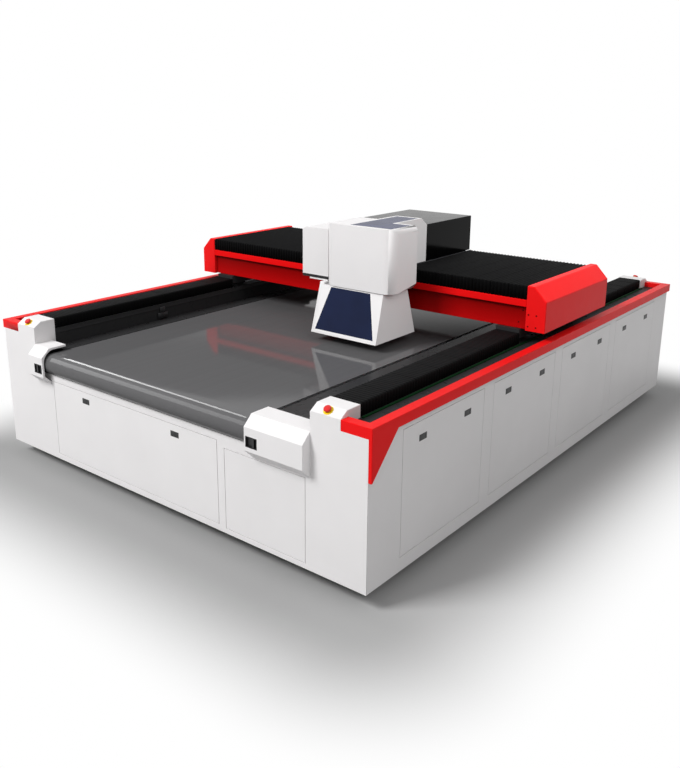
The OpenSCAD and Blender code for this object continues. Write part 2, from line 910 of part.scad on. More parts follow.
module gantry_beam() {
  y0 = gantry_front;
  y1 = shelf_back;
  color("red") along_x(-cap_in, cap_in) difference() {
    polygon([[y0 + beam_setback, beam_low], [y1 - beam_setback, beam_low], [y1 - beam_setback, shelf_low],
      [y1, shelf_low], [y1, shelf_top], [y0, shelf_top], [y0, shelf_low], [y0 + beam_setback, shelf_low]]);
    area([y0 + beam_setback + beam_wall, y1 - beam_setback - beam_wall, beam_low + beam_wall,
      shelf_top - beam_wall], 0);
  }
}

module end_cap() {
  lean = cap_slope_height / cap_slope_width;
  skin = cap_wall * sqrt(1 + lean * lean);
  slope_x = cap_out - cap_slope_width;
  slope_z = gantry_top - cap_slope_height;
  difference() {
    along_y(gantry_front, gantry_back) polygon([[cap_in, beam_low], [cap_out, beam_low], [cap_out, slope_z],
      [slope_x, gantry_top], [cap_in, gantry_top]]);
    along_y(gantry_front + cap_wall, gantry_back - cap_wall) polygon([[cap_in + cap_wall, beam_low - 1],
      [cap_out - cap_wall, beam_low - 1], [cap_out - cap_wall, slope_z + cap_wall * lean - skin],
      [slope_x + (cap_wall - skin) / lean, gantry_top - cap_wall],
      [cap_in + cap_wall, gantry_top - cap_wall]]);
  }
}

module right_end_cap() {
  color("red") end_cap();
}

module left_end_cap() {
  color("red") mirror([1, 0, 0]) end_cap();
}

module gantry_trucks() {
  slot = guide_width / 2 + slider_clearance;
  color("dimgray") both_sides() difference() {
    union() {
      block(guide_x - 80, guide_x + 80, gantry_front, gantry_back, truck_low, beam_low);
      for (y = [gantry_front + 130, gantry_back - 130])
        block(guide_x - 32, guide_x + 32, y - 60, y + 60, trough + slider_drop, truck_low + 1);
    }
    block(guide_x - slot, guide_x + slot, gantry_front - 1, gantry_back + 1, trough,
      trough + guide_height + slider_clearance);
  }
}

module cross_guides() {
  color("silver") for (y = cross_guide_y)
    block(-cap_in, cap_in, y - guide_width / 2, y + guide_width / 2, shelf_top, shelf_top + guide_height);
}

module gantry_motors() {
  y = gantry_front + gantry_depth / 2;
  color("black") both_sides() translate([cap_in + cap_wall, y, (beam_low + shelf_low) / 2]) {
    block(0, 10, -motor_flange / 2, motor_flange / 2, -motor_flange / 2, motor_flange / 2);
    rotate([0, 90, 0]) cylinder(h = cap_width - 3 * cap_wall, r = motor_radius);
  }
}

module cross_bellows(x0, x1) {
  translate([x0, (gantry_front + shelf_back) / 2, shelf_top + 1])
    pleats(x1 - x0, shelf_depth, x_bellows_height - 1, x_pleat_depth);
}

module x_bellows_left() {
  color("black") cross_bellows(-cap_in, head_park + main_left);
}

module x_bellows_right() {
  color("black") cross_bellows(head_park + main_right, cap_in);
}

module at_head() {
  translate([head_park, gantry_front, shelf_top]) children();
}

module front_plan(d) {
  r = front_corner - d;
  x0 = front_left + d;
  x1 = front_right - d;
  y0 = -front_reach + d;
  y1 = front_back - d;
  translate([x0 + r, y0 + r]) circle(r);
  translate([x1 - r, y0 + r]) circle(r);
  translate([x0 + r, y0]) square([x1 - x0 - 2 * r, y1 - y0]);
  translate([x0, y0 + r]) square([x1 - x0, y1 - y0 - r]);
}

module front_face(d, top) {
  r = face_corner - d;
  x0 = front_left + d;
  x1 = front_right - d;
  z0 = -front_drop + d;
  z1 = roof_height - top;
  for (x = [x0 + r, x1 - r], z = [z0 + r, z1 - r]) translate([x, z]) circle(r);
  translate([x0 + r, z0]) square([x1 - x0 - 2 * r, z1 - z0]);
  translate([x0, z0 + r]) square([x1 - x0, z1 - z0 - 2 * r]);
}

module front_side(d, top) {
  r = back_corner - d;
  y0 = -front_reach + d;
  y1 = front_back - d;
  z0 = -front_drop + d;
  z1 = roof_height - top;
  translate([y1 - r, z0 + r]) circle(r);
  translate([y0, z0]) square([y1 - y0 - r, z1 - z0]);
  translate([y0, z0 + r]) square([y1 - y0, z1 - z0 - r]);
}

module front_shape(d, top) {
  intersection() {
    up_z(-front_drop + d, roof_height - top) front_plan(d);
    along_y(-front_reach + d, front_back - d) front_face(d, top);
    along_x(front_left + d, front_right - d) front_side(d, top);
  }
}

module roof_area() {
  x0 = spine_left + 22;
  translate([x0, -front_reach + 40]) square([front_right - face_corner - x0, front_depth - 64]);
  translate([x0, -front_reach + 50]) square([main_right - 12 - x0, front_reach - 50 + spine_depth - 25]);
}

module head_carriage() {
  x0 = main_left + cover_wall;
  x1 = main_right - cover_wall;
  color("dimgray") at_head() difference() {
    union() {
      up_z(plate_low, plate_top) {
        translate([x0, -main_reach + cover_wall])
          square([front_left - cover_wall - x0, main_reach - cover_wall + 10]);
        intersection() {
          front_plan(cover_wall);
          translate([front_left, -front_reach]) square([front_width, front_depth - cover_wall - 6]);
        }
        translate([front_left + cover_wall, -front_reach + front_corner])
          square([x1 - front_left - cover_wall, front_reach - front_corner + 10]);
        translate([x0, front_back + cover_wall]) square([x1 - x0, 20 - front_back - cover_wall]);
        translate([x0, 0]) square([x1 - x0, shelf_depth - 20]);
      }
      for (x = [main_left, main_right - 6])
        block(x, x + 6, 2, shelf_depth - 2, guide_height + 4, x_bellows_height);
      for (x = [x0 + 70, x1 - 70], y = [120, shelf_depth - 120])
        block(x - 60, x + 60, y - 32, y + 32, slider_drop, plate_low + 1);
      for (y = [main_depth + 30, main_depth + laser_length - 90])
        block(main_right - laser_width + 10, main_right - 10, y, y + 50, plate_low, main_back_low);
      for (x = [lens_x - 150, lens_x + 150], y = [lens_y - 85, lens_y + 85])
        translate([x, y, shroud_shelf]) cylinder(h = plate_low - shroud_shelf + 1, r = 12);
      for (y = [-main_reach + 60, front_back - 40])
        translate([front_left - 100, y, shroud_top + 10]) cylinder(h = plate_low - shroud_top - 9, r = 12);
    }
    for (y = [120, shelf_depth - 120])
      block(main_left - 1, main_right + 1, y - guide_width / 2 - slider_clearance,
        y + guide_width / 2 + slider_clearance, 0, guide_height + slider_clearance);
    translate([lens_x, lens_y, plate_low - 1]) cylinder(h = plate_top - plate_low + 2, r = 46);
  }
}

module main_side(y0, d) {
  polygon([[y0 + d, main_low - d], [-6 + d, main_low - d], [-6 + d, main_back_low - d],
    [main_depth - d, main_back_low - d], [main_depth - d, main_top - d], [y0 + d, main_top - d]]);
}

module spine_side(d) {
  drop = (roof_height - main_top) / (main_depth - spine_depth);
  polygon([[front_back - d, main_top - 1 - d], [front_back - d, roof_height - 1.5 * d],
    [spine_depth - d / 2, roof_height - 1.5 * d], [main_depth - d - 1 / drop, main_top - 1 - d]]);
}

module head_main_cover() {
  w = cover_wall;
  color("whitesmoke") at_head() difference() {
    union() {
      along_x(main_left, front_left) main_side(-main_reach, 0);
      along_x(front_left, main_right) main_side(front_back, 0);
      along_x(spine_left, main_right) spine_side(0);
    }
    along_x(main_left + w, front_left - w) main_side(-main_reach, w);
    along_x(main_left + w, main_right - w) main_side(front_back, w);
    along_x(front_left + w, main_right - w) area([front_back - 1, front_back + 20, 0, main_top - w], 0);
    along_x(spine_left + w, main_right - w) spine_side(w);
    along_y(-main_reach - 1, main_depth + 1)
      polygon([[main_left - 1, main_top - 19], [main_left + 35, main_top + 1],
      [main_left - 1, main_top + 1]]);
    up_z(roof_height - roof_panel, roof_height + 1) roof_area();
  }
}

module head_front_cover() {
  w = cover_wall;
  color("whitesmoke") at_head() difference() {
    front_shape(0, 0);
    front_shape(w, w + 2);
    block(lens_x - 180, lens_x + 180, lens_y - 112, lens_y + 112, -front_drop - 1, w + 1);
    block(front_left + w, main_right - w, front_back - w - 1, front_back + 1, plate_low - 4, main_top - w);
    up_z(roof_height - roof_panel, roof_height + 1) roof_area();
  }
}

module roof_window() {
  color("slategray") at_head() up_z(roof_height - roof_panel, roof_height) roof_area();
}

module shroud_shape(d, extra) {
  s = shroud_width / 2 - d;
  y0 = -shroud_reach + d;
  y1 = -shroud_back - d;
  t = shroud_side_lean;
  intersection() {
    along_y(-shroud_reach - 1, 0) polygon([[lens_x - s - t * extra / shroud_h, shroud_low - extra],
      [lens_x + s + t * extra / shroud_h, shroud_low - extra], [lens_x + s - t, shroud_top],
      [lens_x - s + t, shroud_top]]);
    along_x(lens_x - shroud_width, lens_x + shroud_width)
      polygon([[y0 - shroud_front_lean * extra / shroud_h, shroud_low - extra],
      [y1 + shroud_back_lean * extra / shroud_h, shroud_low - extra], [y1 - shroud_back_lean, shroud_top],
      [y0 + shroud_front_lean, shroud_top]]);
  }
}

module window_area() {
  s = shroud_width / 2;
  polygon([[lens_x - s + window_margin, shroud_low + window_low],
    [lens_x + s - window_margin, shroud_low + window_low],
    [lens_x + s - window_top_margin, shroud_top - window_drop],
    [lens_x - s + window_top_margin, shroud_top - window_drop]]);
}

module shroud() {
  w = shroud_wall;
  color("whitesmoke") at_head() {
    difference() {
      shroud_shape(0, 0);
      difference() {
        shroud_shape(w, 5);
        block(lens_x - shroud_width, lens_x + shroud_width, -shroud_reach, 0, shroud_shelf - 6, 0);
      }
      block(front_left - 4, lens_x + shroud_width, -shroud_reach, 0, shroud_shelf, 0);
      block(lens_x - shroud_width, front_left - 10, lens_y - 90, lens_y + 90, shroud_shelf - 7, 0);
      along_y(-shroud_reach - 1, lens_y) window_area();
      translate([lens_x, lens_y, shroud_shelf - 8]) cylinder(h = 20, r = 70);
    }
    block(front_left - 4 - flange_width, front_left - 4, -main_reach, front_back, shroud_top,
      shroud_top + 10);
  }
}

module shroud_window() {
  color("midnightblue") at_head() difference() {
    intersection() {
      shroud_shape(0, 0);
      along_y(-shroud_reach - 1, lens_y) window_area();
    }
    shroud_shape(shroud_wall, 5);
  }
}

module dust_strip() {
  color("black") at_head() {
    block(main_left, front_left - 4, -main_reach, -main_reach + 8, main_low - strip_height, main_low);
    block(main_left, main_left + 8, -main_reach, -10, main_low - strip_height, main_low);
  }
}

module laser_housing() {
  color("black") at_head()
    block(main_right - laser_width, main_right, main_depth, main_depth + laser_length, main_back_low,
      main_top);
}

module galvo_mount() {
  bore = mirror_stem + mirror_clearance;
  color("dimgray") at_head() translate([lens_x, lens_y, plate_top]) difference() {
    union() {
      block(-80, 80, -80, 80, 0, 12);
      block(40, 75, -25, 25, 0, 70);
      translate([40, 0, 45]) rotate([0, 90, 0]) cylinder(h = 75, r = 24);
      block(-25, 25, 40, 75, 0, 130);
      translate([0, 40, 110]) rotate([-90, 0, 0]) cylinder(h = 60, r = 24);
    }
    translate([0, 0, -1]) cylinder(h = 14, r = 46);
    translate([39, 0, 45]) rotate([0, 90, 0]) cylinder(h = 40, r = bore);
    translate([0, 39, 110]) rotate([-90, 0, 0]) cylinder(h = 40, r = bore);
  }
}

module mirror_blade() {
  translate([0, 0, -2]) cylinder(h = 40, r = mirror_stem);
  intersection() {
    translate([0, 0, -38]) cylinder(h = 38, r = 18);
    block(-18, 18, -2, 2, -39, 1);
  }
}

module galvo_mirror_x() {
  color("silver") at_head() translate([lens_x + 36, lens_y, plate_top + 45]) rotate([0, 90, 0])
    rotate([0, 0, 45]) mirror_blade();
}

module galvo_mirror_y() {
  color("silver") at_head() translate([lens_x, lens_y + 36, plate_top + 110]) rotate([-90, 0, 0])
    rotate([0, 0, 45]) mirror_blade();
}

module scan_lens() {
  color("black") at_head() translate([lens_x, lens_y, plate_low - 24]) difference() {
    cylinder(h = 24, r = 60);
    translate([0, 0, -1]) cylinder(h = 8, r = 46);
    translate([0, 0, 16]) cylinder(h = 9, r = 44);
  }
}

base_frame();
levelling_feet();
front_panel();
rear_panel();
left_panel();
right_panel();
front_doors();
left_doors();
right_doors();
door_latches();
front_left_tower();
front_right_tower();
rear_towers();
left_trim_rail();
right_trim_rail();
front_left_roller_cover();
front_right_roller_cover();
rear_roller_covers();
cover_handles();
conveyor_belt();
vacuum_table();
roller_bearings();
conveyor_motor();
left_deck();
right_deck();
long_guides();
drive_strips();
stop_rings();
edge_sensor();
control_cabinet();
y_bellows_front_left();
y_bellows_front_right();
y_bellows_rear_left();
y_bellows_rear_right();
front_roller();
rear_roller();
stop_button_front_left();
stop_button_front_right();
stop_button_rear_left();
stop_button_rear_right();
gantry_beam();
left_end_cap();
right_end_cap();
gantry_trucks();
cross_guides();
gantry_motors();
x_bellows_left();
x_bellows_right();
head_carriage();
head_main_cover();
head_front_cover();
roof_window();
shroud();
shroud_window();
dust_strip();
laser_housing();
galvo_mount();
galvo_mirror_x();
galvo_mirror_y();
scan_lens();
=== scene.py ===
import json
import math

import bmesh
import bpy
import numpy as np
from mathutils import Matrix, Vector


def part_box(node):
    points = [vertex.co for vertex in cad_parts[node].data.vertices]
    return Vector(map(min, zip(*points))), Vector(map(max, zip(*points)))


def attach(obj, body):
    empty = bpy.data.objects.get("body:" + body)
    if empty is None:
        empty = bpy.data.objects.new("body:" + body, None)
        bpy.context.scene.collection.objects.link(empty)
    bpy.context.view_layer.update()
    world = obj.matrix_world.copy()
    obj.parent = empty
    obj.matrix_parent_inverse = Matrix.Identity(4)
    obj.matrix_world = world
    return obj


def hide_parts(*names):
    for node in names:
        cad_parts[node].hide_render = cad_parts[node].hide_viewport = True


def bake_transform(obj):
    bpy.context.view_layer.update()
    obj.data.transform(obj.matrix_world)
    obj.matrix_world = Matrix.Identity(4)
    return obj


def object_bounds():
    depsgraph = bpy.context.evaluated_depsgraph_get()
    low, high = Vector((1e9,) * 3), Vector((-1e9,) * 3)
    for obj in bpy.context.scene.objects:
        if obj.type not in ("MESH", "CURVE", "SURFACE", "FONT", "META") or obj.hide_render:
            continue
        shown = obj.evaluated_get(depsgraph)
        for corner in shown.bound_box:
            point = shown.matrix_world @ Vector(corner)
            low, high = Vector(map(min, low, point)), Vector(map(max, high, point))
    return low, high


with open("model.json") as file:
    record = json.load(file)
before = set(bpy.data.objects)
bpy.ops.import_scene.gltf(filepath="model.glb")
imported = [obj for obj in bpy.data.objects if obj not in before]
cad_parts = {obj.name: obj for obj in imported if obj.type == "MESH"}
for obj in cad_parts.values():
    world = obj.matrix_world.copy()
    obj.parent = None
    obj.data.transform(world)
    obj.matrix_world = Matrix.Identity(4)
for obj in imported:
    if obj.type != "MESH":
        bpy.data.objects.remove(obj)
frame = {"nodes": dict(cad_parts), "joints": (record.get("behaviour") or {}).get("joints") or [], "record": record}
nodes = frame["nodes"]
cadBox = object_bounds()
scene = bpy.context.scene
scene.view_settings.view_transform = "Standard"
print("frame loaded:", len(nodes), "solids")


def boxOf(name):
    low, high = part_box(name)
    return np.array(low), np.array(high)


# small node helpers, used by every finish

def newFinish(name):
    finish = bpy.data.materials.new(name)
    finish.use_nodes = True
    shader = finish.node_tree.nodes["Principled BSDF"]
    return finish, finish.node_tree, shader


def addNode(tree, kind, **values):
    made = tree.nodes.new(kind)
    for key, value in values.items():
        setattr(made, key, value)
    return made


def objectCoords(tree, stretch=(1, 1, 1)):
    coords = addNode(tree, "ShaderNodeTexCoord")
    mapping = addNode(tree, "ShaderNodeMapping")
    mapping.inputs["Scale"].default_value = stretch
    tree.links.new(coords.outputs["Object"], mapping.inputs["Vector"])
    return mapping.outputs["Vector"]


def noise(tree, vector, scale, detail=2.0):
    made = addNode(tree, "ShaderNodeTexNoise")
    made.inputs["Scale"].default_value = scale
    made.inputs["Detail"].default_value = detail
    tree.links.new(vector, made.inputs["Vector"])
    return made.outputs["Fac"]


def rampTo(tree, value, socket, stops):
    ramp = addNode(tree, "ShaderNodeValToRGB")
    low, high = ramp.color_ramp.elements
    low.position, low.color = stops[0][0], (*stops[0][1], 1)
    high.position, high.color = stops[1][0], (*stops[1][1], 1)
    for position, tone in stops[2:]:
        ramp.color_ramp.elements.new(position).color = (*tone, 1)
    tree.links.new(value, ramp.inputs["Fac"])
    tree.links.new(ramp.outputs["Color"], socket)


# a value carried from one range to another, straight or with soft ends
def remapped(tree, value, fromRange, toRange=(0.0, 1.0), soft=False):
    made = addNode(tree, "ShaderNodeMapRange", interpolation_type="SMOOTHSTEP" if soft else "LINEAR")
    for socket, number in zip(("From Min", "From Max", "To Min", "To Max"), (*fromRange, *toRange)):
        made.inputs[socket].default_value = number
    tree.links.new(value, made.inputs["Value"])
    return made.outputs["Result"]


def rangeTo(tree, value, socket, low, high):
    tree.links.new(remapped(tree, value, (0.0, 1.0), (low, high)), socket)


def bumpTo(tree, height, shader, strength, distance):
    bump = addNode(tree, "ShaderNodeBump")
    bump.inputs["Strength"].default_value = strength
    bump.inputs["Distance"].default_value = distance
    tree.links.new(height, bump.inputs["Height"])
    tree.links.new(bump.outputs["Normal"], shader.inputs["Normal"])


# the object's own point, whole and split into X, Y and Z
def objectPoint(tree):
    coords = addNode(tree, "ShaderNodeTexCoord")
    split = addNode(tree, "ShaderNodeSeparateXYZ")
    tree.links.new(coords.outputs["Object"], split.inputs["Vector"])
    return coords.outputs["Object"], split.outputs


# a math node on numbers or vectors, fed by the given sockets in turn
def combined(tree, kind, operation, *values):
    made = addNode(tree, kind, operation=operation)
    for value, socket in zip(values, made.inputs):
        tree.links.new(value, socket)
    return made


# 1 for the rays that show the background: from the camera, mirrored or through glass
def backgroundRays(tree):
    rays = addNode(tree, "ShaderNodeLightPath").outputs
    first = combined(tree, "ShaderNodeMath", "MAXIMUM", rays["Is Camera Ray"], rays["Is Glossy Ray"])
    either = combined(tree, "ShaderNodeMath", "MAXIMUM", first.outputs["Value"], rays["Is Transmission Ray"])
    return either.outputs["Value"]


# two shaders mixed by a share and sent to the output node
def mixTo(tree, output, share, first, second):
    mixed = addNode(tree, "ShaderNodeMixShader")
    for value, socket in zip((share, first, second), mixed.inputs):
        tree.links.new(value, socket)
    tree.links.new(mixed.outputs["Shader"], tree.nodes[output].inputs["Surface"])


def shaded(colour, share):
    return tuple(c * share for c in colour)


# paint: clouds in the colour, uneven gloss and fine orange peel, with their scales
spray = dict(clouds=3.0, dark=0.975, pale=1.015, mottle=14.0, glossier=0.05, duller=0.06, peel=420.0,
             depth=0.0004)


def paintSurface(tree, shader, where, gloss, peel, specular):
    rangeTo(tree, noise(tree, where, spray["mottle"], 4.0), shader.inputs["Roughness"],
            gloss - spray["glossier"], gloss + spray["duller"])
    bumpTo(tree, noise(tree, where, spray["peel"], 1.0), shader, peel, spray["depth"])
    shader.inputs["Specular IOR Level"].default_value = specular


def sprayed(name, colour, gloss, peel, specular=0.5):
    finish, tree, shader = newFinish(name)
    where = objectCoords(tree)
    rampTo(tree, noise(tree, where, spray["clouds"], 3.0), shader.inputs["Base Color"],
           ((0.3, shaded(colour, spray["dark"])), (0.7, shaded(colour, spray["pale"]))))
    paintSurface(tree, shader, where, gloss, peel, specular)
    return finish


# sprayed paint on the beam with painted shade: its red darkens from the foot upwards to a narrow band under the
# shelf, where the shelf's shade falls, and is full red on the shelf above
beam = dict(face=0.145, foot=0.60, deep=(0.21, 0.0015, 0.0016), bandFrom=0.96, bandTo=0.985, peel=0.06)


def shelfShadedPaint(name, colour, low, gloss, specular):
    finish, tree, shader = newFinish(name)
    share = remapped(tree, objectPoint(tree)[1]["Z"], (low, low + beam["face"]))
    rampTo(tree, share, shader.inputs["Base Color"],
           ((0.0, shaded(colour, beam["foot"])), (beam["bandFrom"], beam["deep"]),
            (beam["bandTo"], beam["deep"]), (1.0, colour)))
    paintSurface(tree, shader, objectCoords(tree), gloss, beam["peel"], specular)
    return finish


# drawn or ground metal: streaks stretched along one direction
drawn = dict(streaks=60.0, dark=0.85, glossier=0.08, duller=0.1, relief=0.05, depth=0.0003)


def drawnMetal(name, colour, gloss, stretch):
    finish, tree, shader = newFinish(name)
    streaks = noise(tree, objectCoords(tree, stretch), drawn["streaks"], 4.0)
    rampTo(tree, streaks, shader.inputs["Base Color"], ((0.3, shaded(colour, drawn["dark"])), (0.75, colour)))
    rangeTo(tree, streaks, shader.inputs["Roughness"], gloss - drawn["glossier"], gloss + drawn["duller"])
    shader.inputs["Metallic"].default_value = 1.0
    bumpTo(tree, streaks, shader, drawn["relief"], drawn["depth"])
    return finish


# moulded plastic: fine spark-eroded grain
mould = dict(clouds=40.0, dark=0.92, pale=1.06, mottle=90.0, glossier=0.06, duller=0.08, grain=1400.0,
             depth=0.0003)


def moulded(name, colour, gloss, grain, specular=0.5):
    finish, tree, shader = newFinish(name)
    where = objectCoords(tree)
    rampTo(tree, noise(tree, where, mould["clouds"], 3.0), shader.inputs["Base Color"],
           ((0.3, shaded(colour, mould["dark"])), (0.7, shaded(colour, mould["pale"]))))
    rangeTo(tree, noise(tree, where, mould["mottle"], 2.0), shader.inputs["Roughness"],
            gloss - mould["glossier"], gloss + mould["duller"])
    bumpTo(tree, noise(tree, where, mould["grain"], 1.0), shader, grain, mould["depth"])
    shader.inputs["Specular IOR Level"].default_value = specular
    return finish


# heights of two crossed sets of threads laid along a UV map
def crossedThreads(tree, uvMap, scale, join):
    where = addNode(tree, "ShaderNodeUVMap", uv_map=uvMap)
    weave = addNode(tree, "ShaderNodeMath", operation=join)
    for direction, socket in zip("XY", weave.inputs):
        threads = addNode(tree, "ShaderNodeTexWave", wave_type="BANDS", bands_direction=direction)
        threads.inputs["Scale"].default_value = scale
        tree.links.new(where.outputs["UV"], threads.inputs["Vector"])
        tree.links.new(threads.outputs["Fac"], socket)
    return weave.outputs["Value"]


# coated cloth: a fine weave, paler along the fold tops that face up, partly as rubbing wear and partly as painted
# light where the tops catch it
cloth = dict(threads=190.0, rubbedAndLitFrom=0.55, mottle=30.0, glossy=0.62, dull=0.78, relief=0.12, depth=0.0004,
             specular=0.05)


def coatedCloth(name, colour, wornAndLit):
    finish, tree, shader = newFinish(name)
    fold = addNode(tree, "ShaderNodeAttribute", attribute_name="fold")
    rampTo(tree, fold.outputs["Fac"], shader.inputs["Base Color"],
           ((cloth["rubbedAndLitFrom"], colour), (1.0, wornAndLit)))
    rangeTo(tree, noise(tree, objectCoords(tree), cloth["mottle"], 3.0), shader.inputs["Roughness"],
            cloth["glossy"], cloth["dull"])
    threads = crossedThreads(tree, "cloth", cloth["threads"], "MAXIMUM")
    bumpTo(tree, threads, shader, cloth["relief"], cloth["depth"])
    shader.inputs["Specular IOR Level"].default_value = cloth["specular"]
    return finish


# the belt's glazed mesh: a small square weave under a smooth coat, with long faint streaks
glaze = dict(threads=60.0, stretch=(30.0, 0.6, 30.0), dark=0.97, pale=1.03, glossier=0.02, duller=0.03,
             relief=0.02, depth=0.0003, specular=0.09)


def glazedMesh(name, colour, gloss):
    finish, tree, shader = newFinish(name)
    streaks = noise(tree, objectCoords(tree, glaze["stretch"]), 1.0, 4.0)
    rampTo(tree, streaks, shader.inputs["Base Color"],
           ((0.25, shaded(colour, glaze["dark"])), (0.75, shaded(colour, glaze["pale"]))))
    rangeTo(tree, streaks, shader.inputs["Roughness"], gloss - glaze["glossier"], gloss + glaze["duller"])
    threads = crossedThreads(tree, "belt", glaze["threads"], "MULTIPLY")
    bumpTo(tree, threads, shader, glaze["relief"], glaze["depth"])
    shader.inputs["Specular IOR Level"].default_value = glaze["specular"]
    return finish


# a tinted sheet: deep colour, almost even, very smooth
tint = dict(clouds=5.0, dark=0.85, pale=1.15, mottle=9.0, duller=0.05, waves=6.0, relief=0.03, depth=0.001)


def tintedSheet(name, colour, gloss, specular):
    finish, tree, shader = newFinish(name)
    where = objectCoords(tree)
    rampTo(tree, noise(tree, where, tint["clouds"], 2.0), shader.inputs["Base Color"],
           ((0.3, shaded(colour, tint["dark"])), (0.7, shaded(colour, tint["pale"]))))
    rangeTo(tree, noise(tree, where, tint["mottle"], 2.0), shader.inputs["Roughness"],
            gloss, gloss + tint["duller"])
    bumpTo(tree, noise(tree, where, tint["waves"], 1.0), shader, tint["relief"], tint["depth"])
    shader.inputs["Specular IOR Level"].default_value = specular
    return finish


whitePaint = sprayed("whitePaint", (0.80, 0.785, 0.788), 0.42, 0.05, specular=0.35)
redPaint = sprayed("redPaint", (0.84, 0.010, 0.011), 0.36, 0.06, specular=0.06)
# the beam's red, with painted shade under its shelf
beamShadedPaint = shelfShadedPaint("beamShadedPaint", (0.84, 0.006, 0.007), boxOf("gantry_beam")[0][2], 0.4, 0.03)
framePaint = sprayed("framePaint", (0.07, 0.07, 0.075), 0.5, 0.08)
deckPaint = sprayed("deckPaint", (0.030, 0.030, 0.031), 0.28, 0.008, specular=0.045)
laserPaint = sprayed("laserPaint", (0.002, 0.002, 0.0021), 0.13, 0.012, specular=0.05)
blackPlastic = moulded("blackPlastic", (0.012, 0.012, 0.013), 0.45, 0.15)
footRubber = moulded("footRubber", (0.02, 0.02, 0.02), 0.7, 0.3, specular=0.3)
stopRed = moulded("stopRed", (0.62, 0.012, 0.012), 0.3, 0.05)
stopYellow = moulded("stopYellow", (0.88, 0.62, 0.01), 0.35, 0.05)
driveGreen = moulded("driveGreen", (0.004, 0.035, 0.010), 0.6, 0.1, specular=0.05)
# bellows cloth: its second colour is the paler up-facing fold tops, rubbing wear and painted light
bellowsCloth = coatedCloth("bellowsCloth", (0.0032, 0.0032, 0.0034), (0.0135, 0.0135, 0.014))
beltMesh = glazedMesh("beltMesh", (0.110, 0.109, 0.112), 0.06)
windowTint = tintedSheet("windowTint", (0.006, 0.012, 0.045), 0.06, 0.14)
# the roof window: the tinted glass with its sky reflection painted in as a paler blue, and little gloss of its own
roofTintPaintedReflection = tintedSheet("roofTintPaintedReflection", (0.052, 0.060, 0.125), 0.12, 0.015)
guideSteel = drawnMetal("guideSteel", (0.62, 0.62, 0.64), 0.3, (1, 12, 12))
tableAlloy = drawnMetal("tableAlloy", (0.7, 0.7, 0.72), 0.4, (12, 1, 12))
mirrorFace = drawnMetal("mirrorFace", (0.92, 0.92, 0.93), 0.1, (1, 1, 1))
finishOf = {
    "white_paint": whitePaint, "red_paint": redPaint, "frame_paint": framePaint, "deck_paint": deckPaint,
    "laser_black": laserPaint, "black_plastic": blackPlastic, "foot_rubber": footRubber, "stop_red": stopRed,
    "stop_yellow": stopYellow, "strip_green": driveGreen, "bellows_fabric": bellowsCloth,
    "belt_rubber": beltMesh, "tinted_glass": windowTint, "guide_steel": guideSteel,
    "table_aluminium": tableAlloy, "mirror_face": mirrorFace,
}
ownFinish = {"roof_window": roofTintPaintedReflection, "gantry_beam": beamShadedPaint, "gantry_trucks": deckPaint}
slotOf = {part["node"]: part["material_slot"] for part in frame["record"]["subparts"]}
bodyOf = {name: body for body, members in frame["record"]["behaviour"]["bodies"].items() for name in members}
for name, solid in nodes.items():
    solid.data.materials.clear()
    solid.data.materials.append(ownFinish.get(name, finishOf[slotOf[name]]))
print("finishes:", len(finishOf))


# mesh helpers; small trim is smooth across angles below this many degrees
trimSmooth = 50


# index quads of a grid with the given rows and columns, joined end to end where asked
def gridFaces(rows, cols, closeRows=False, closeCols=False):
    r = np.arange(rows if closeRows else rows - 1)[:, None]
    c = np.arange(cols if closeCols else cols - 1)[None, :]
    r2, c2 = (r + 1) % rows, (c + 1) % cols
    return np.stack([r * cols + c, r * cols + c2, r2 * cols + c2, r2 * cols + c], -1).reshape(-1, 4)


# quads that close a ring of an even number of points, in strips across it
def ringFaces(start, count):
    i = np.arange(count // 2 - 1)
    return start + np.stack([i, i + 1, count - 2 - i, count - 1 - i], -1)


# several grids as one set of points and faces
def joined(grids):
    starts = np.cumsum([0] + [len(p) for p, f in grids[:-1]])
    return (np.concatenate([p for p, f in grids]),
            np.concatenate([f + start for (p, f), start in zip(grids, starts)]))


def addPiece(name, points, faces, finish, sharpAbove=40, closed=True):
    mesh = bpy.data.meshes.new(name)
    mesh.from_pydata(np.asarray(points).tolist(), [], np.asarray(faces).tolist())
    mesh.polygons.foreach_set("use_smooth", np.ones(len(mesh.polygons), bool))
    if closed:
        shell = bmesh.new()
        shell.from_mesh(mesh)
        bmesh.ops.recalc_face_normals(shell, faces=shell.faces)
        shell.to_mesh(mesh)
        shell.free()
    mesh.set_sharp_from_angle(angle=math.radians(sharpAbove))
    mesh.materials.append(finish)
    piece = bpy.data.objects.new(name, mesh)
    scene.collection.objects.link(piece)
    return piece


# a UV map from one pair of lengths per point
def addUvMap(piece, name, pairs):
    corner = np.zeros(len(piece.data.loops), np.int32)
    piece.data.loops.foreach_get("vertex_index", corner)
    piece.data.uv_layers.new(name=name).data.foreach_set("uv", pairs[corner].astype(np.float32).ravel())


# rounded block: a sphere's normals n, each moved to its own corner of the block, sign(n) * (half - r) + r * n
def roundedBlock(low, high, radius, steps=3):
    low, high = np.asarray(low, float), np.asarray(high, float)
    turn = (np.arange(4 * steps) + 0.5) / (4 * steps) * 2 * np.pi
    tilt = (np.arange(2 * steps) + 0.5) / (2 * steps) * np.pi
    n = np.stack([np.outer(np.sin(tilt), np.cos(turn)), np.outer(np.sin(tilt), np.sin(turn)),
                  np.outer(np.cos(tilt), np.ones_like(turn))], -1)
    points = (low + high) / 2 + np.sign(n) * ((high - low) / 2 - radius) + radius * n
    cols = 4 * steps
    faces = [gridFaces(2 * steps, cols, closeCols=True), ringFaces(0, cols),
             ringFaces((2 * steps - 1) * cols, cols)]
    return points.reshape(-1, 3), np.concatenate(faces)


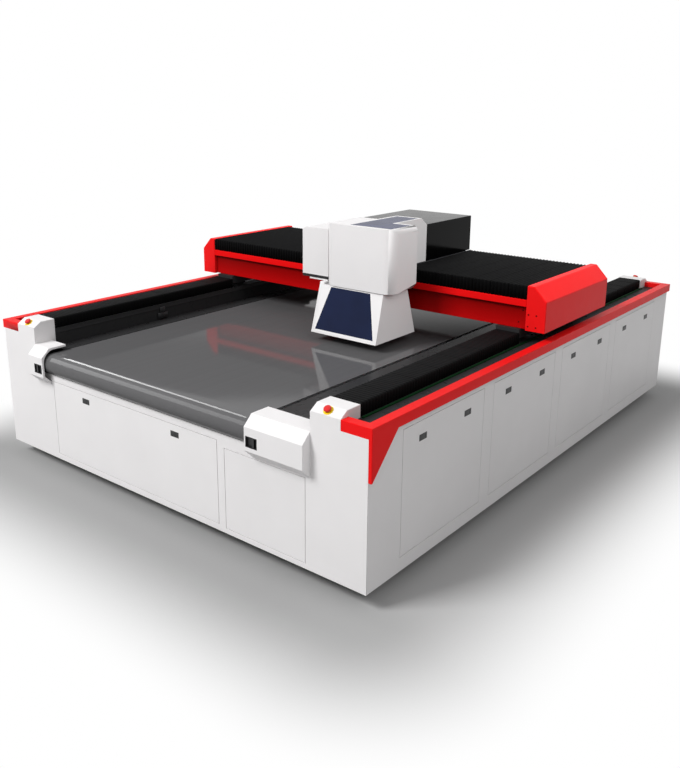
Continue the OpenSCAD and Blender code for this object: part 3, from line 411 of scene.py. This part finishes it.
# turned piece: a profile of radius against height, carried round an axis
def turned(profile, centre, axis, around=40):
    axis = np.asarray(axis, float) / np.linalg.norm(axis)
    side = np.cross(axis, (1.0, 0, 0) if abs(axis[0]) < 0.9 else (0, 1.0, 0))
    side /= np.linalg.norm(side)
    other = np.cross(axis, side)
    turn = np.linspace(0, 2 * np.pi, around, endpoint=False)
    radius, height = np.asarray(profile, float).T
    ring = np.cos(turn)[:, None] * side + np.sin(turn)[:, None] * other
    points = np.asarray(centre) + radius[:, None, None] * ring + height[:, None, None] * axis
    rows = len(radius)
    faces = [gridFaces(rows, around, closeCols=True), ringFaces(0, around),
             ringFaces((rows - 1) * around, around)]
    return points.reshape(-1, 3), np.concatenate(faces)


# a piece rides on its body and stands for the solids named last
def place(piece, body, slot, *stands):
    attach(piece, body)
    if stands:
        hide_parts(*stands)
    return piece


# sheet and cast pieces keep the solid's shape and get softened edges
softening = dict(narrow=0.006, weld=1e-5, flat=0.5, sharp=30, segments=3, smoothTo=50)


def softened(name, width):
    solid = nodes[name]
    shell = bmesh.new()
    shell.from_mesh(solid.data)
    bmesh.ops.remove_doubles(shell, verts=shell.verts, dist=softening["weld"])
    bmesh.ops.dissolve_limit(shell, angle_limit=math.radians(softening["flat"]), verts=shell.verts,
                             edges=shell.edges)
    # thin rims stay crisp: a face's breadth is twice its area over its outline
    breadth = {f: 2 * f.calc_area() / max(f.calc_perimeter(), 1e-9) for f in shell.faces}
    crease = [e for e in shell.edges if len(e.link_faces) == 2
              and e.calc_face_angle() > math.radians(softening["sharp"])
              and min(breadth[f] for f in e.link_faces) > softening["narrow"]]
    bmesh.ops.bevel(shell, geom=crease, offset=width, segments=softening["segments"], profile=0.5,
                    affect="EDGES", clamp_overlap=True)
    piece = addPiece(name + "Skin", np.zeros((0, 3)), [], solid.data.materials[0])
    shell.to_mesh(piece.data)
    shell.free()
    piece.data.polygons.foreach_set("use_smooth", np.ones(len(piece.data.polygons), bool))
    piece.data.set_sharp_from_angle(angle=math.radians(softening["smoothTo"]))
    even = piece.modifiers.new("even", "WEIGHTED_NORMAL")
    even.keep_sharp = True
    return place(piece, bodyOf[name], slotOf[name], name)


edgeWidth = {
    "front_panel": 0.001, "rear_panel": 0.001, "left_panel": 0.001, "right_panel": 0.001,
    "front_doors": 0.001, "left_doors": 0.001, "right_doors": 0.001,
    "front_left_tower": 0.004, "front_right_tower": 0.004, "rear_towers": 0.004,
    "left_trim_rail": 0.004, "right_trim_rail": 0.004,
    "front_left_roller_cover": 0.005, "front_right_roller_cover": 0.005, "rear_roller_covers": 0.005,
    "gantry_beam": 0.004, "left_end_cap": 0.006, "right_end_cap": 0.006,
    "head_main_cover": 0.006, "head_front_cover": 0.007, "shroud": 0.004, "laser_housing": 0.004,
    "left_deck": 0.0015, "right_deck": 0.0015,
}
skins = {name: softened(name, width) for name, width in edgeWidth.items()}

# front cover: the left lower corner follows a wider arc, and the right side runs straight down to its lower
# edge; an arc of radius r lifts the edge by r - sqrt(r^2 - (r - u)^2) at a distance u from the side
frontCover = dict(corner=0.035, wide=0.078, back=0.050, reach=0.16, slack=1e-4)


def arcLift(radius, u):
    return radius - np.sqrt(np.maximum(radius**2 - np.clip(radius - u, 0, radius) ** 2, 0))


coverMesh = skins["head_front_cover"].data
coverLow, coverHigh = boxOf("head_front_cover")
coverPoints = np.zeros(len(coverMesh.vertices) * 3)
coverMesh.vertices.foreach_get("co", coverPoints)
coverPoints = coverPoints.reshape(-1, 3)
fromLeft, fromRight = coverPoints[:, 0] - coverLow[0], coverHigh[0] - coverPoints[:, 0]
height = coverPoints[:, 2] - coverLow[2]
leftLift = arcLift(frontCover["wide"], fromLeft) - arcLift(frontCover["corner"], fromLeft)
fromBack = arcLift(frontCover["back"], coverHigh[1] - coverPoints[:, 1])
dropped = np.maximum(fromBack, height - arcLift(frontCover["corner"], fromRight))
inCorner = (fromRight < frontCover["corner"]) & (height < frontCover["corner"] + frontCover["slack"])
newHeight = np.where(inCorner, dropped, height)
newHeight += leftLift * np.clip(1 - height / frontCover["reach"], 0, 1)
coverPoints[:, 2] = coverLow[2] + newHeight
coverMesh.vertices.foreach_set("co", coverPoints.ravel())
coverMesh.update()
print("softened skins:", len(skins))

# bellows: a rounded hood profile carried along the guide, drawn in at every fold
bellows = dict(pitch=0.025, longDepth=0.002, crossDepth=0.0065, corner=0.012, arc=5, samples=4, parts=7,
               skin=0.0012, blunt=0.04, smoothTo=25)


# profile points run up one side, over the top and down the other; each has its outward direction
def hoodProfile(width, height, corner, arc):
    bend = np.linspace(0, np.pi / 2, arc)
    outLeft = np.stack([-np.cos(bend), np.sin(bend)], -1)
    left = np.array([-width / 2 + corner, height - corner]) + corner * outLeft
    right = np.stack([-left[::-1, 0], left[::-1, 1]], -1)
    outRight = np.stack([-outLeft[::-1, 0], outLeft[::-1, 1]], -1)
    ends = np.array([[-width / 2, 0.0]]), np.array([[width / 2, 0.0]])
    points = np.concatenate([ends[0], left, right, ends[1]])
    outward = np.concatenate([[[-1.0, 0.0]], outLeft, outRight, [[1.0, 0.0]]])
    return points, outward


# share of the travel at which smoothstep gives the wanted weight, by its closed inverse
def inverseStep(weight):
    return 0.5 - np.sin(np.arcsin(1 - 2 * np.asarray(weight)) / 3)


# one fold is a rise and a fall, 1 - |u| with u = 2 t - 1; b blunts its top, 1 - sqrt((1 - b) u^2 + b), and
# the result is a share of that top, 1 - sqrt(b)
def foldRise(t):
    blunt = bellows["blunt"]
    rise = 1 - np.sqrt((2 * (t % 1) - 1) ** 2 * (1 - blunt) + blunt)
    return np.clip(rise / (1 - math.sqrt(blunt)), 0, 1)


# points at t along the guide: the hood's outline drawn in by depth * (1 - rise); a bellows is made in parts
def addBellows(name, along, depth, fixedAtLow):
    low, high = boxOf(name)
    across = 1 - along
    length = high[along] - low[along]
    folds = int(round(length / bellows["pitch"]))
    hood, outward = hoodProfile(high[across] - low[across], high[2] - low[2], bellows["corner"],
                                bellows["arc"])
    middle = (low[across] + high[across]) / 2
    around = np.concatenate([[0], np.cumsum(np.linalg.norm(np.diff(hood, axis=0), axis=1))])
    cuts = np.round(np.linspace(0, folds, bellows["parts"] + 1)).astype(int)
    for part in range(bellows["parts"]):
        t = np.linspace(cuts[part], cuts[part + 1], (cuts[part + 1] - cuts[part]) * bellows["samples"] + 1)
        rise = foldRise(t)
        section = hood[None] - outward[None] * (depth * (1 - rise))[:, None, None]
        points = np.zeros((len(t), len(hood), 3))
        points[..., along] = (low[along] + t / folds * length)[:, None]
        points[..., across] = middle + section[..., 0]
        points[..., 2] = np.maximum(low[2] + section[..., 1], low[2])
        faces = gridFaces(len(t), len(hood))
        piece = addPiece(f"{name}_{part + 1}", points.reshape(-1, 3), faces if along == 1 else faces[:, ::-1],
                         bellowsCloth, sharpAbove=bellows["smoothTo"], closed=False)
        fold = piece.data.attributes.new("fold", "FLOAT", "POINT")
        rubbedAndLit = np.outer(rise, np.clip(outward[:, 1], 0, 1))  # only what faces up is made paler: rubbing wear and painted light on the fold tops
        fold.data.foreach_set("value", rubbedAndLit.astype(np.float32).ravel())
        lengths = np.stack([np.repeat(points[:, 0, along], len(hood)), np.tile(around, len(t))], -1)
        addUvMap(piece, "cloth", lengths)
        thick = piece.modifiers.new("cloth", "SOLIDIFY")
        thick.thickness, thick.offset = bellows["skin"], -1.0
        # weights for the part's two ends, growing evenly along the whole bellows, and the stretch they give are
        # worked out; nothing applies them to the part
        share = np.array([cuts[part], cuts[part + 1]]) / folds
        weight = share if fixedAtLow else 1 - share
        spot = low[along] + share * length
        step = inverseStep(weight)
        reach = (spot[1] - spot[0]) / (step[1] - step[0])
        start, end = points[0, 0].copy(), points[0, 0].copy()
        start[along] = spot[0] - step[0] * reach
        end[along] = start[along] + reach
        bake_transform(piece)
        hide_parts(name)


for side in ("left", "right"):
    for end in ("front", "rear"):
        addBellows(f"y_bellows_{end}_{side}", 1, bellows["longDepth"], end == "front")
for side in ("left", "right"):
    addBellows(f"x_bellows_{side}", 0, bellows["crossDepth"], side == "left")
print("bellows: each in", bellows["parts"], "parts")

# belt: a stadium loop carried across the bed, with a thin edge
belt = dict(arc=48, straight=60, columns=13, thick=0.003, smoothTo=60)


# the loop runs round the front roller, along the top, round the rear roller and back below
def beltLoop(radius, axisY, axisZ):
    half = np.linspace(-np.pi / 2, np.pi / 2, belt["arc"])
    run = np.linspace(-axisY, axisY, belt["straight"])[1:-1]
    front = np.stack([-axisY - radius * np.cos(half), axisZ + radius * np.sin(half)], -1)
    top = np.stack([run, np.full_like(run, axisZ + radius)], -1)
    rear = np.stack([-front[::-1, 0], front[::-1, 1]], -1)
    under = np.stack([run[::-1], np.full_like(run, axisZ - radius)], -1)
    return np.concatenate([front, top, rear, under])


beltLow, beltHigh = boxOf("conveyor_belt")
beltRadius = (beltHigh[2] - beltLow[2]) / 2
beltAxisZ = (beltHigh[2] + beltLow[2]) / 2
outer = beltLoop(beltRadius, beltHigh[1] - beltRadius, beltAxisZ)
inner = beltLoop(beltRadius - belt["thick"], beltHigh[1] - beltRadius, beltAxisZ)
acrossBelt = np.linspace(beltLow[0], beltHigh[0], belt["columns"])
layers = [np.dstack([np.tile(acrossBelt, (len(loop), 1)), np.repeat(loop[:, :1], len(acrossBelt), 1),
                     np.repeat(loop[:, 1:], len(acrossBelt), 1)]) for loop in (outer, inner)]
sheet = np.concatenate([layers[0], layers[1][:, ::-1]], 1)  # outer face, edge, inner face, edge
beltFaces = gridFaces(len(outer), sheet.shape[1], closeRows=True, closeCols=True)
beltPiece = addPiece("beltSheet", sheet.reshape(-1, 3), beltFaces, beltMesh, belt["smoothTo"])
runLength = np.concatenate([[0], np.cumsum(np.linalg.norm(np.diff(outer, axis=0), axis=1))])
beltPlace = np.stack([sheet[..., 0], np.repeat(runLength[:, None], sheet.shape[1], 1)], -1)
addUvMap(beltPiece, "belt", beltPlace.reshape(-1, 2))
place(beltPiece, "base", "belt_rubber", "conveyor_belt")
print("belt:", len(beltFaces), "faces")

# stop buttons: mushroom heads on yellow plates, square to the sloped tower tops
stop = dict(slopeRun=0.051, slopeRise=0.033, core=0.002, stem=0.0108, head=0.0195, sunk=0.013, under=0.0098,
            ring=0.026, bore=0.0114, plate=0.003, dish=0.0026)
headProfile = [(stop["core"], -stop["sunk"]), (stop["stem"], -stop["sunk"]), (stop["stem"], stop["under"]),
               (0.0165, stop["under"]), (0.0188, 0.0106), (stop["head"], 0.0124), (stop["head"], 0.0165),
               (0.0188, 0.0184), (0.0172, 0.0198), (0.0140, 0.0210), (0.0090, 0.0216), (0.0030, 0.0218)]
ringProfile = [(stop["bore"], 0.0), (stop["ring"], 0.0), (stop["ring"], 0.0021),
               (stop["ring"] - 0.0009, stop["plate"]), (0.0150, stop["plate"]), (0.0140, stop["dish"]),
               (stop["bore"], stop["dish"])]
panelFront, panelRear = boxOf("front_panel")[0][1], boxOf("rear_panel")[1][1]
towerLow, towerHigh = boxOf("front_right_tower")
rings = []
for end, faceY, inward in (("front", panelFront, 1), ("rear", panelRear, -1)):
    for side, sign in (("left", -1), ("right", 1)):
        joint = next(j for j in frame["joints"] if j["name"] == f"stop_{end}_{side}_press")
        centre = (sign * (towerLow[0] + towerHigh[0]) / 2, faceY + inward * stop["slopeRun"] / 2,
                  towerHigh[2] - stop["slopeRise"] / 2)
        headShape = turned(headProfile, centre, joint["axis"])
        head = addPiece(f"stopHead_{end}_{side}", *headShape, stopRed, trimSmooth)
        place(head, f"stop_{end}_{side}_body", "stop_red", f"stop_button_{end}_{side}")
        rings.append(turned(ringProfile, centre, joint["axis"]))
place(addPiece("stopPlates", *joined(rings), stopYellow, trimSmooth), "base", "stop_yellow", "stop_rings")
print("stop buttons:", len(rings))

# door latches: a bezel, a press paddle and a key plate; each is its low and high corner as shares of the half
# width and half height, its share of the depth and its edge radius
latch = dict(width=0.068, height=0.034, proud=0.0020, sunk=0.004, offset=0.216, drop=0.087, pitch=0.888,
             sideDoors=4, frontDrop=0.055, wideDoor=1.485, frontShare=0.225,
             bezel=((-1.0, -1.0), (1.0, 1.0), 0.6, 0.0011), paddle=((-0.9, -0.8), (0.34, 0.8), 0.95, 0.0014),
             key=((0.46, -0.62), (0.86, 0.62), 0.95, 0.0014))


# a latch drawn flat in (along, up, out), then laid on its wall by three directions
def latchBlocks(spot, alongDir, outDir):
    half = np.array([latch["width"], latch["height"]]) / 2
    axes = np.stack([alongDir, (0, 0, 1), outDir]).astype(float)
    blocks = [roundedBlock((*(half * low), -latch["sunk"]), (*(half * high), latch["proud"] * share), radius)
              for low, high, share, radius in (latch["bezel"], latch["paddle"], latch["key"])]
    return [(np.asarray(spot) + points @ axes, faces) for points, faces in blocks]


sideHigh = boxOf("right_doors")[1]
wideLow, wideHigh = boxOf("front_doors")
latches = []
for share in (latch["frontShare"], 1 - latch["frontShare"]):
    spot = (wideLow[0] + latch["wideDoor"] * share, panelFront, wideHigh[2] - latch["frontDrop"])
    latches += latchBlocks(spot, (1, 0, 0), (0, -1, 0))
for sign in (-1, 1):
    for i in np.arange(latch["sideDoors"]) - (latch["sideDoors"] - 1) / 2:
        for offset in (-latch["offset"], latch["offset"]):
            spot = (sign * sideHigh[0], i * latch["pitch"] + offset, sideHigh[2] - latch["drop"])
            latches += latchBlocks(spot, (0, 1, 0), (sign, 0, 0))
latchPiece = addPiece("latchSet", *joined(latches), blackPlastic, trimSmooth)
place(latchPiece, "base", "black_plastic", "door_latches")
print("latches:", len(latches) // 3)

# screws low on the right end cap's front face, and two on the beam beside it
screw = dict(radius=0.0048, crown=0.0038, socket=0.0022, core=0.0012, floor=0.0004, height=0.0018, sunk=0.001,
             rows=(0.027, 0.101), columns=(0.019, 0.071), beam=((-0.055, 0.040), (-0.030, 0.118)),
             setback=0.025, around=20)
capLow = boxOf("right_end_cap")[0]
screwProfile = [(screw["core"], screw["floor"]), (screw["socket"], screw["floor"]),
                (screw["socket"], screw["height"]), (screw["crown"], screw["height"] * 0.9),
                (screw["radius"], screw["height"] * 0.4), (screw["radius"], -screw["sunk"]),
                (screw["core"], -screw["sunk"])]
spots = [(capLow[0] + x, capLow[1], capLow[2] + z) for x in screw["columns"] for z in screw["rows"]]
spots += [(capLow[0] + x, capLow[1] + screw["setback"], capLow[2] + z) for x, z in screw["beam"]]
heads = [turned(screwProfile, spot, (0, -1, 0), screw["around"]) for spot in spots]
place(addPiece("capScrews", *joined(heads), laserPaint, trimSmooth), "gantry", "laser_black")
print("screws:", len(heads))

# levelling feet: a domed pad, a nut and a threaded stem drawn as rings
foot = dict(pad=0.05, core=0.004, nut=0.024, stem=0.015, stemFrom=0.040, pitch=0.004, groove=0.001, perSide=5,
            around=28)
footLow, footHigh = boxOf("levelling_feet")
padProfile = [(foot["core"], 0.0), (0.047, 0.0), (foot["pad"], 0.003), (foot["pad"], 0.010), (0.046, 0.014),
              (0.030, 0.018), (foot["nut"], 0.019), (foot["nut"], 0.032), (0.018, 0.034)]
ridges = np.arange(foot["stemFrom"], footHigh[2], foot["pitch"] / 2)
stemProfile = np.stack([foot["stem"] - foot["groove"] * (np.arange(len(ridges)) % 2), ridges], -1)
footProfile = np.concatenate([padProfile, stemProfile, [(foot["core"], footHigh[2])]])
footYs = np.linspace(footLow[1] + foot["pad"], footHigh[1] - foot["pad"], foot["perSide"])
feet = [turned(footProfile, (sign * (footHigh[0] - foot["pad"]), y, 0), (0, 0, 1), foot["around"])
        for sign in (-1, 1) for y in footYs]
place(addPiece("footSet", *joined(feet), footRubber, trimSmooth), "base", "foot_rubber", "levelling_feet")
print("feet:", len(feet))

# roller covers' open ends: a rim whose inner edge bends round the roller and turns in below, and whose outer
# edge follows the cover's three outer faces
lip = dict(rim=0.013, bend=0.080, run=0.057, rise=0.054, foot=0.057, turnOuter=0.054, turnInner=0.061,
           footRim=1.4, steps=24, thick=0.003, proud=0.0008, inset=0.0012, smoothTo=35)


# outer edge at angle t: the nearest of the top, chamfer and front planes along the ray from the bend's centre
def addLip(name, cover, toBelt):
    low, high = boxOf(cover)
    rim, bend, run, rise, inset = (lip[key] for key in ("rim", "bend", "run", "rise", "inset"))
    t = np.linspace(0, math.pi / 2, lip["steps"])
    ray = np.stack([-np.sin(t), np.cos(t)], 1)
    reach, slope = rim + bend - inset, np.hypot(run, rise)
    chamfer = np.array([-rise, run]) / slope
    toChamfer = (reach * (rise + run) - rise * run) / slope - inset
    with np.errstate(divide="ignore"):
        far = np.minimum(np.minimum(reach / ray[:, 1], reach / -ray[:, 0]), toChamfer / (ray @ chamfer))
    centre = np.array([rim + bend, -rim - bend])
    deep, drop = high[1] - low[1], low[2] - high[2]
    outer = np.vstack([[deep, -inset], centre + ray * far[:, None], [inset, drop + lip["turnOuter"]],
                       [lip["foot"], drop + 2 * inset]])
    inner = np.vstack([[deep, -rim], centre + ray * bend, [rim, drop + lip["turnInner"]],
                       [lip["foot"], drop + lip["footRim"] * rim]])
    endX = high[0] if toBelt > 0 else low[0]
    faceX, rearX = endX + toBelt * lip["proud"], endX - toBelt * lip["thick"]
    rows = np.stack([outer, inner, inner, outer], 1)
    points = np.stack([np.broadcast_to([faceX, faceX, rearX, rearX], rows.shape[:2]),
                       low[1] + rows[..., 0], high[2] + rows[..., 1]], 2).reshape(-1, 3)
    ends = np.array([[0, 1, 2, 3], [-1, -2, -3, -4]]) % len(points)
    faces = np.vstack([gridFaces(len(rows), 4, closeCols=True), ends])
    place(addPiece(name, points, faces, whitePaint, lip["smoothTo"]), "base", slotOf[cover])


addLip("frontLeftLip", "front_left_roller_cover", 1)
addLip("frontRightLip", "front_right_roller_cover", -1)
print("cover lips: 2")

# edge sensor on the left inner wall: a body with a lens in its face, and a bracket above
sensor = dict(height=0.042, bracket=0.022, bead=0.004, faceGap=0.0015, lensGap=0.0018, lensFrom=0.024,
              overlap=0.002, bodyRound=0.003, bracketRound=0.002, around=24)
lensProfile = [(0.0005, 0), (0.011, 0), (0.011, 0.0012), (0.009, 0.0016), (0.0005, 0.0010)]
sensorLow, sensorHigh = boxOf("edge_sensor")
sensorTop, sensorY = sensorLow[2] + sensor["height"], (sensorLow[1] + sensorHigh[1]) / 2
sensorFace = sensorHigh[0] - sensor["faceGap"]
lensSpot = (sensorHigh[0] - sensor["lensGap"], sensorLow[1] + sensor["lensFrom"],
            sensorLow[2] + sensor["height"] / 2)
bracketLow = (sensorLow[0] + sensor["bead"], sensorY - sensor["bracket"], sensorTop - sensor["overlap"])
bracketHigh = (sensorFace, sensorY + sensor["bracket"], sensorHigh[2])
sensorParts = [roundedBlock(sensorLow, (sensorFace, sensorHigh[1], sensorTop), sensor["bodyRound"]),
               roundedBlock(bracketLow, bracketHigh, sensor["bracketRound"]),
               turned(lensProfile, lensSpot, (1, 0, 0), sensor["around"])]
sensorPiece = addPiece("edgeSensorBody", *joined(sensorParts), blackPlastic, trimSmooth)
place(sensorPiece, "base", "black_plastic", "edge_sensor")
print("sensor parts:", len(sensorParts))

# floor: lit and shaded by the lamps near the machine, with a painted shadow darkening it in front; white further
# out for the camera and reflections
floor = dict(half=40.0, clear=0.98, near=0.12, tone=0.43, frontPaintedShadow=0.33, frontFade=0.3, sideFade=0.6,
             rough=0.9, specular=0.1)
floorMesh = bpy.data.meshes.new("floorSheet")
span = np.linspace(-floor["half"], floor["half"], 3)
floorPoints = np.stack([*np.meshgrid(span, span, indexing="ij"), np.zeros((3, 3))], -1).reshape(-1, 3)
floorMesh.from_pydata(floorPoints.tolist(), [], gridFaces(3, 3)[:, ::-1].tolist())
floorPiece = bpy.data.objects.new("floorSheet", floorMesh)
scene.collection.objects.link(floorPiece)
floorFinish, tree, shader = newFinish("paleFloor")
shader.inputs["Roughness"].default_value = floor["rough"]
shader.inputs["Specular IOR Level"].default_value = floor["specular"]
point, axes = objectPoint(tree)
# painted shadow: the floor's colour darkens in front of the machine, from frontFade ahead of it to its front edge,
# and fades out past its sides
shadowAhead = remapped(tree, axes["Y"], (cadBox[0][1] + floor["frontFade"], cadBox[0][1]), soft=True)
besideRange = (cadBox[1][0] + floor["sideFade"], cadBox[1][0] - floor["sideFade"])
shadowBeside = remapped(tree, axes["X"], besideRange, soft=True)
front = combined(tree, "ShaderNodeMath", "MULTIPLY", shadowAhead, shadowBeside)
rampTo(tree, front.outputs["Value"], shader.inputs["Base Color"],
       ((0.0, (floor["tone"],) * 3), (1.0, (floor["frontPaintedShadow"],) * 3)))
# distance from the machine's outline: the length of max(|point| - corner, 0)
absolute = combined(tree, "ShaderNodeVectorMath", "ABSOLUTE", point)
beyond = combined(tree, "ShaderNodeVectorMath", "SUBTRACT", absolute.outputs["Vector"])
beyond.inputs[1].default_value = (cadBox[1][0], cadBox[1][1], 0)
outside = combined(tree, "ShaderNodeVectorMath", "MAXIMUM", beyond.outputs["Vector"])
away = combined(tree, "ShaderNodeVectorMath", "LENGTH", outside.outputs["Vector"])
fade = remapped(tree, away.outputs["Value"], (floor["near"], floor["clear"]), soft=True)
share = combined(tree, "ShaderNodeMath", "MULTIPLY", backgroundRays(tree), fade)
white = addNode(tree, "ShaderNodeEmission")
mixTo(tree, "Material Output", share.outputs["Value"], shader.outputs["BSDF"], white.outputs["Emission"])
floorMesh.materials.append(floorFinish)
print("floor laid")

# light: even sky, a box overhead, a key from the front left and a weak fill from the right; one accent lights
# the head alone and one the end caps alone
light = dict(sky=0.35, overhead=70.0, overheadSize=5.0, overheadHeight=9.0, key=1960.0, keySize=5.0,
             keyFrom=(-4.5, -11.0, 11.0), keyAt=(0.0, -1.0, 0.8), right=300.0, rightSize=6.0,
             rightFrom=(9.5, -4.5, 10.0), rightAt=(0.5, 0.0, 0.8), head=205.0, headSize=3.0,
             headFrom=(8.2, -2.0, 5.0), headAt=(0.55, -0.5, 1.2), cap=285.0, capSize=1.5,
             capFrom=(0.6, 0.2, 7.0), capAt=(1.45, 0.2, 1.1), rollerAt=(-0.3, -2.03, 0.79))
# strips that draw the bright line along the roller: two ends, width and power
strips = dict(rearStrip=((-0.05, -1.5, 1.52), (-2.17, -1.6, 1.29), 0.26, 20.0),
              leftStrip=((-0.05, -2.51, 1.53), (-2.17, -2.4, 1.35), 0.6, 28.0))
world = bpy.data.worlds.new("studio")
scene.world = world
world.use_nodes = True
tree = world.node_tree
plain = tree.nodes["Background"]
bright = addNode(tree, "ShaderNodeBackground")
for sky, strength in ((plain, light["sky"]), (bright, 1.0)):
    sky.inputs["Strength"].default_value = strength
    sky.inputs["Color"].default_value = (1, 1, 1, 1)
mixTo(tree, "World Output", backgroundRays(tree), plain.outputs["Background"], bright.outputs["Background"])


# an area lamp, square or oblong, aimed at a point and hidden from the camera and from reflections
def addLamp(name, power, size, spot, aim, width=None, receivers=()):
    lamp = bpy.data.lights.new(name, "AREA")
    lamp.energy, lamp.size = power, size
    if width:
        lamp.shape, lamp.size_y = "RECTANGLE", width
    holder = bpy.data.objects.new(name, lamp)
    scene.collection.objects.link(holder)
    holder.location = spot
    holder.rotation_euler = (Vector(aim) - Vector(spot)).to_track_quat("-Z", "Y").to_euler()
    holder.visible_glossy = False
    holder.visible_camera = False
    if receivers:  # an accent that lights only these pieces
        lit = bpy.data.collections.new(name + "Lit")
        for piece in receivers:
            lit.objects.link(piece)
        holder.light_linking.receiver_collection = lit
    return holder


# a strip lamp between two points, turned to face the roller; it only draws highlights on the belt
def addStrip(name, first, last, width, power):
    first, last = np.array(first), np.array(last)
    middle, run = (first + last) / 2, last - first
    x = run / np.linalg.norm(run)
    z = middle - np.array(light["rollerAt"])
    z -= x * (z @ x)
    z /= np.linalg.norm(z)
    strip = addLamp(name, power, np.linalg.norm(run), middle, light["rollerAt"], width, [beltPiece])
    strip.rotation_euler = Matrix(np.stack([x, np.cross(z, x), z], 1).tolist()).to_euler()
    strip.visible_glossy, strip.visible_diffuse = True, False


addLamp("overheadBox", light["overhead"], light["overheadSize"], (0, 0, light["overheadHeight"]), (0, 0, 0))
addLamp("keyBox", light["key"], light["keySize"], light["keyFrom"], light["keyAt"])
addLamp("rightBox", light["right"], light["rightSize"], light["rightFrom"], light["rightAt"])
addLamp("headAccent", light["head"], light["headSize"], light["headFrom"], light["headAt"],
        receivers=[skins[name] for name in ("head_front_cover", "head_main_cover", "shroud")])
addLamp("capAccent", light["cap"], light["capSize"], light["capFrom"], light["capAt"],
        receivers=[skins[name] for name in ("left_end_cap", "right_end_cap")])
for name, (first, last, width, power) in strips.items():
    addStrip(name, first, last, width, power)

# a card behind on the left, seen only in reflections: pale below and grey above, it keeps the belt even in
# tone; pale and deep are the heights between which it darkens
flag = dict(at=(-11.0, 10.5, 5.0), width=18.0, height=3.8, faces=(0.0, -0.8, 0.8), grey=0.12, pale=4.2,
            deep=5.4)
facing = np.array(flag["faces"]) - np.array(flag["at"])
facing[2] = 0
facing /= np.linalg.norm(facing)
across = np.array([-facing[1], facing[0], 0]) * flag["width"] / 2
rise = np.array([0, 0, flag["height"] / 2])
cardPoints = np.array(flag["at"]) + np.stack([-across - rise, across - rise, -across + rise, across + rise])
cardFinish, tree = newFinish("shadedCard")[:2]
cardRange = (flag["pale"], flag["deep"])
tone = remapped(tree, objectPoint(tree)[1]["Z"], cardRange, (1.0, flag["grey"]), soft=True)
shine = addNode(tree, "ShaderNodeEmission")
tree.links.new(tone, shine.inputs["Strength"])
tree.links.new(shine.outputs["Emission"], tree.nodes["Material Output"].inputs["Surface"])
card = addPiece("shadedCard", cardPoints, gridFaces(2, 2), cardFinish, closed=False)
card.visible_camera = card.visible_diffuse = card.visible_shadow = False

# camera, fitted to the photograph's edges
view = dict(spot=(3.5861, -4.8577, 2.3599), turn=39.326, down=15.569, roll=-0.202, focalPixels=848.33,
            centre=(325.84, 334.07), picture=(680, 768), sensor=36.0, near=0.05, far=200.0)
camera = bpy.data.cameras.new("photoCamera")
longSide = max(view["picture"])
camera.sensor_width = view["sensor"]
camera.lens = view["focalPixels"] * camera.sensor_width / longSide
camera.shift_x = (view["picture"][0] / 2 - view["centre"][0]) / longSide
camera.shift_y = (view["centre"][1] - view["picture"][1] / 2) / longSide
camera.clip_start, camera.clip_end = view["near"], view["far"]
viewer = bpy.data.objects.new("photoCamera", camera)
scene.collection.objects.link(viewer)
viewer.location = view["spot"]
viewer.rotation_euler = np.radians([90 - view["down"], view["roll"], view["turn"]]).tolist()
scene.camera = viewer
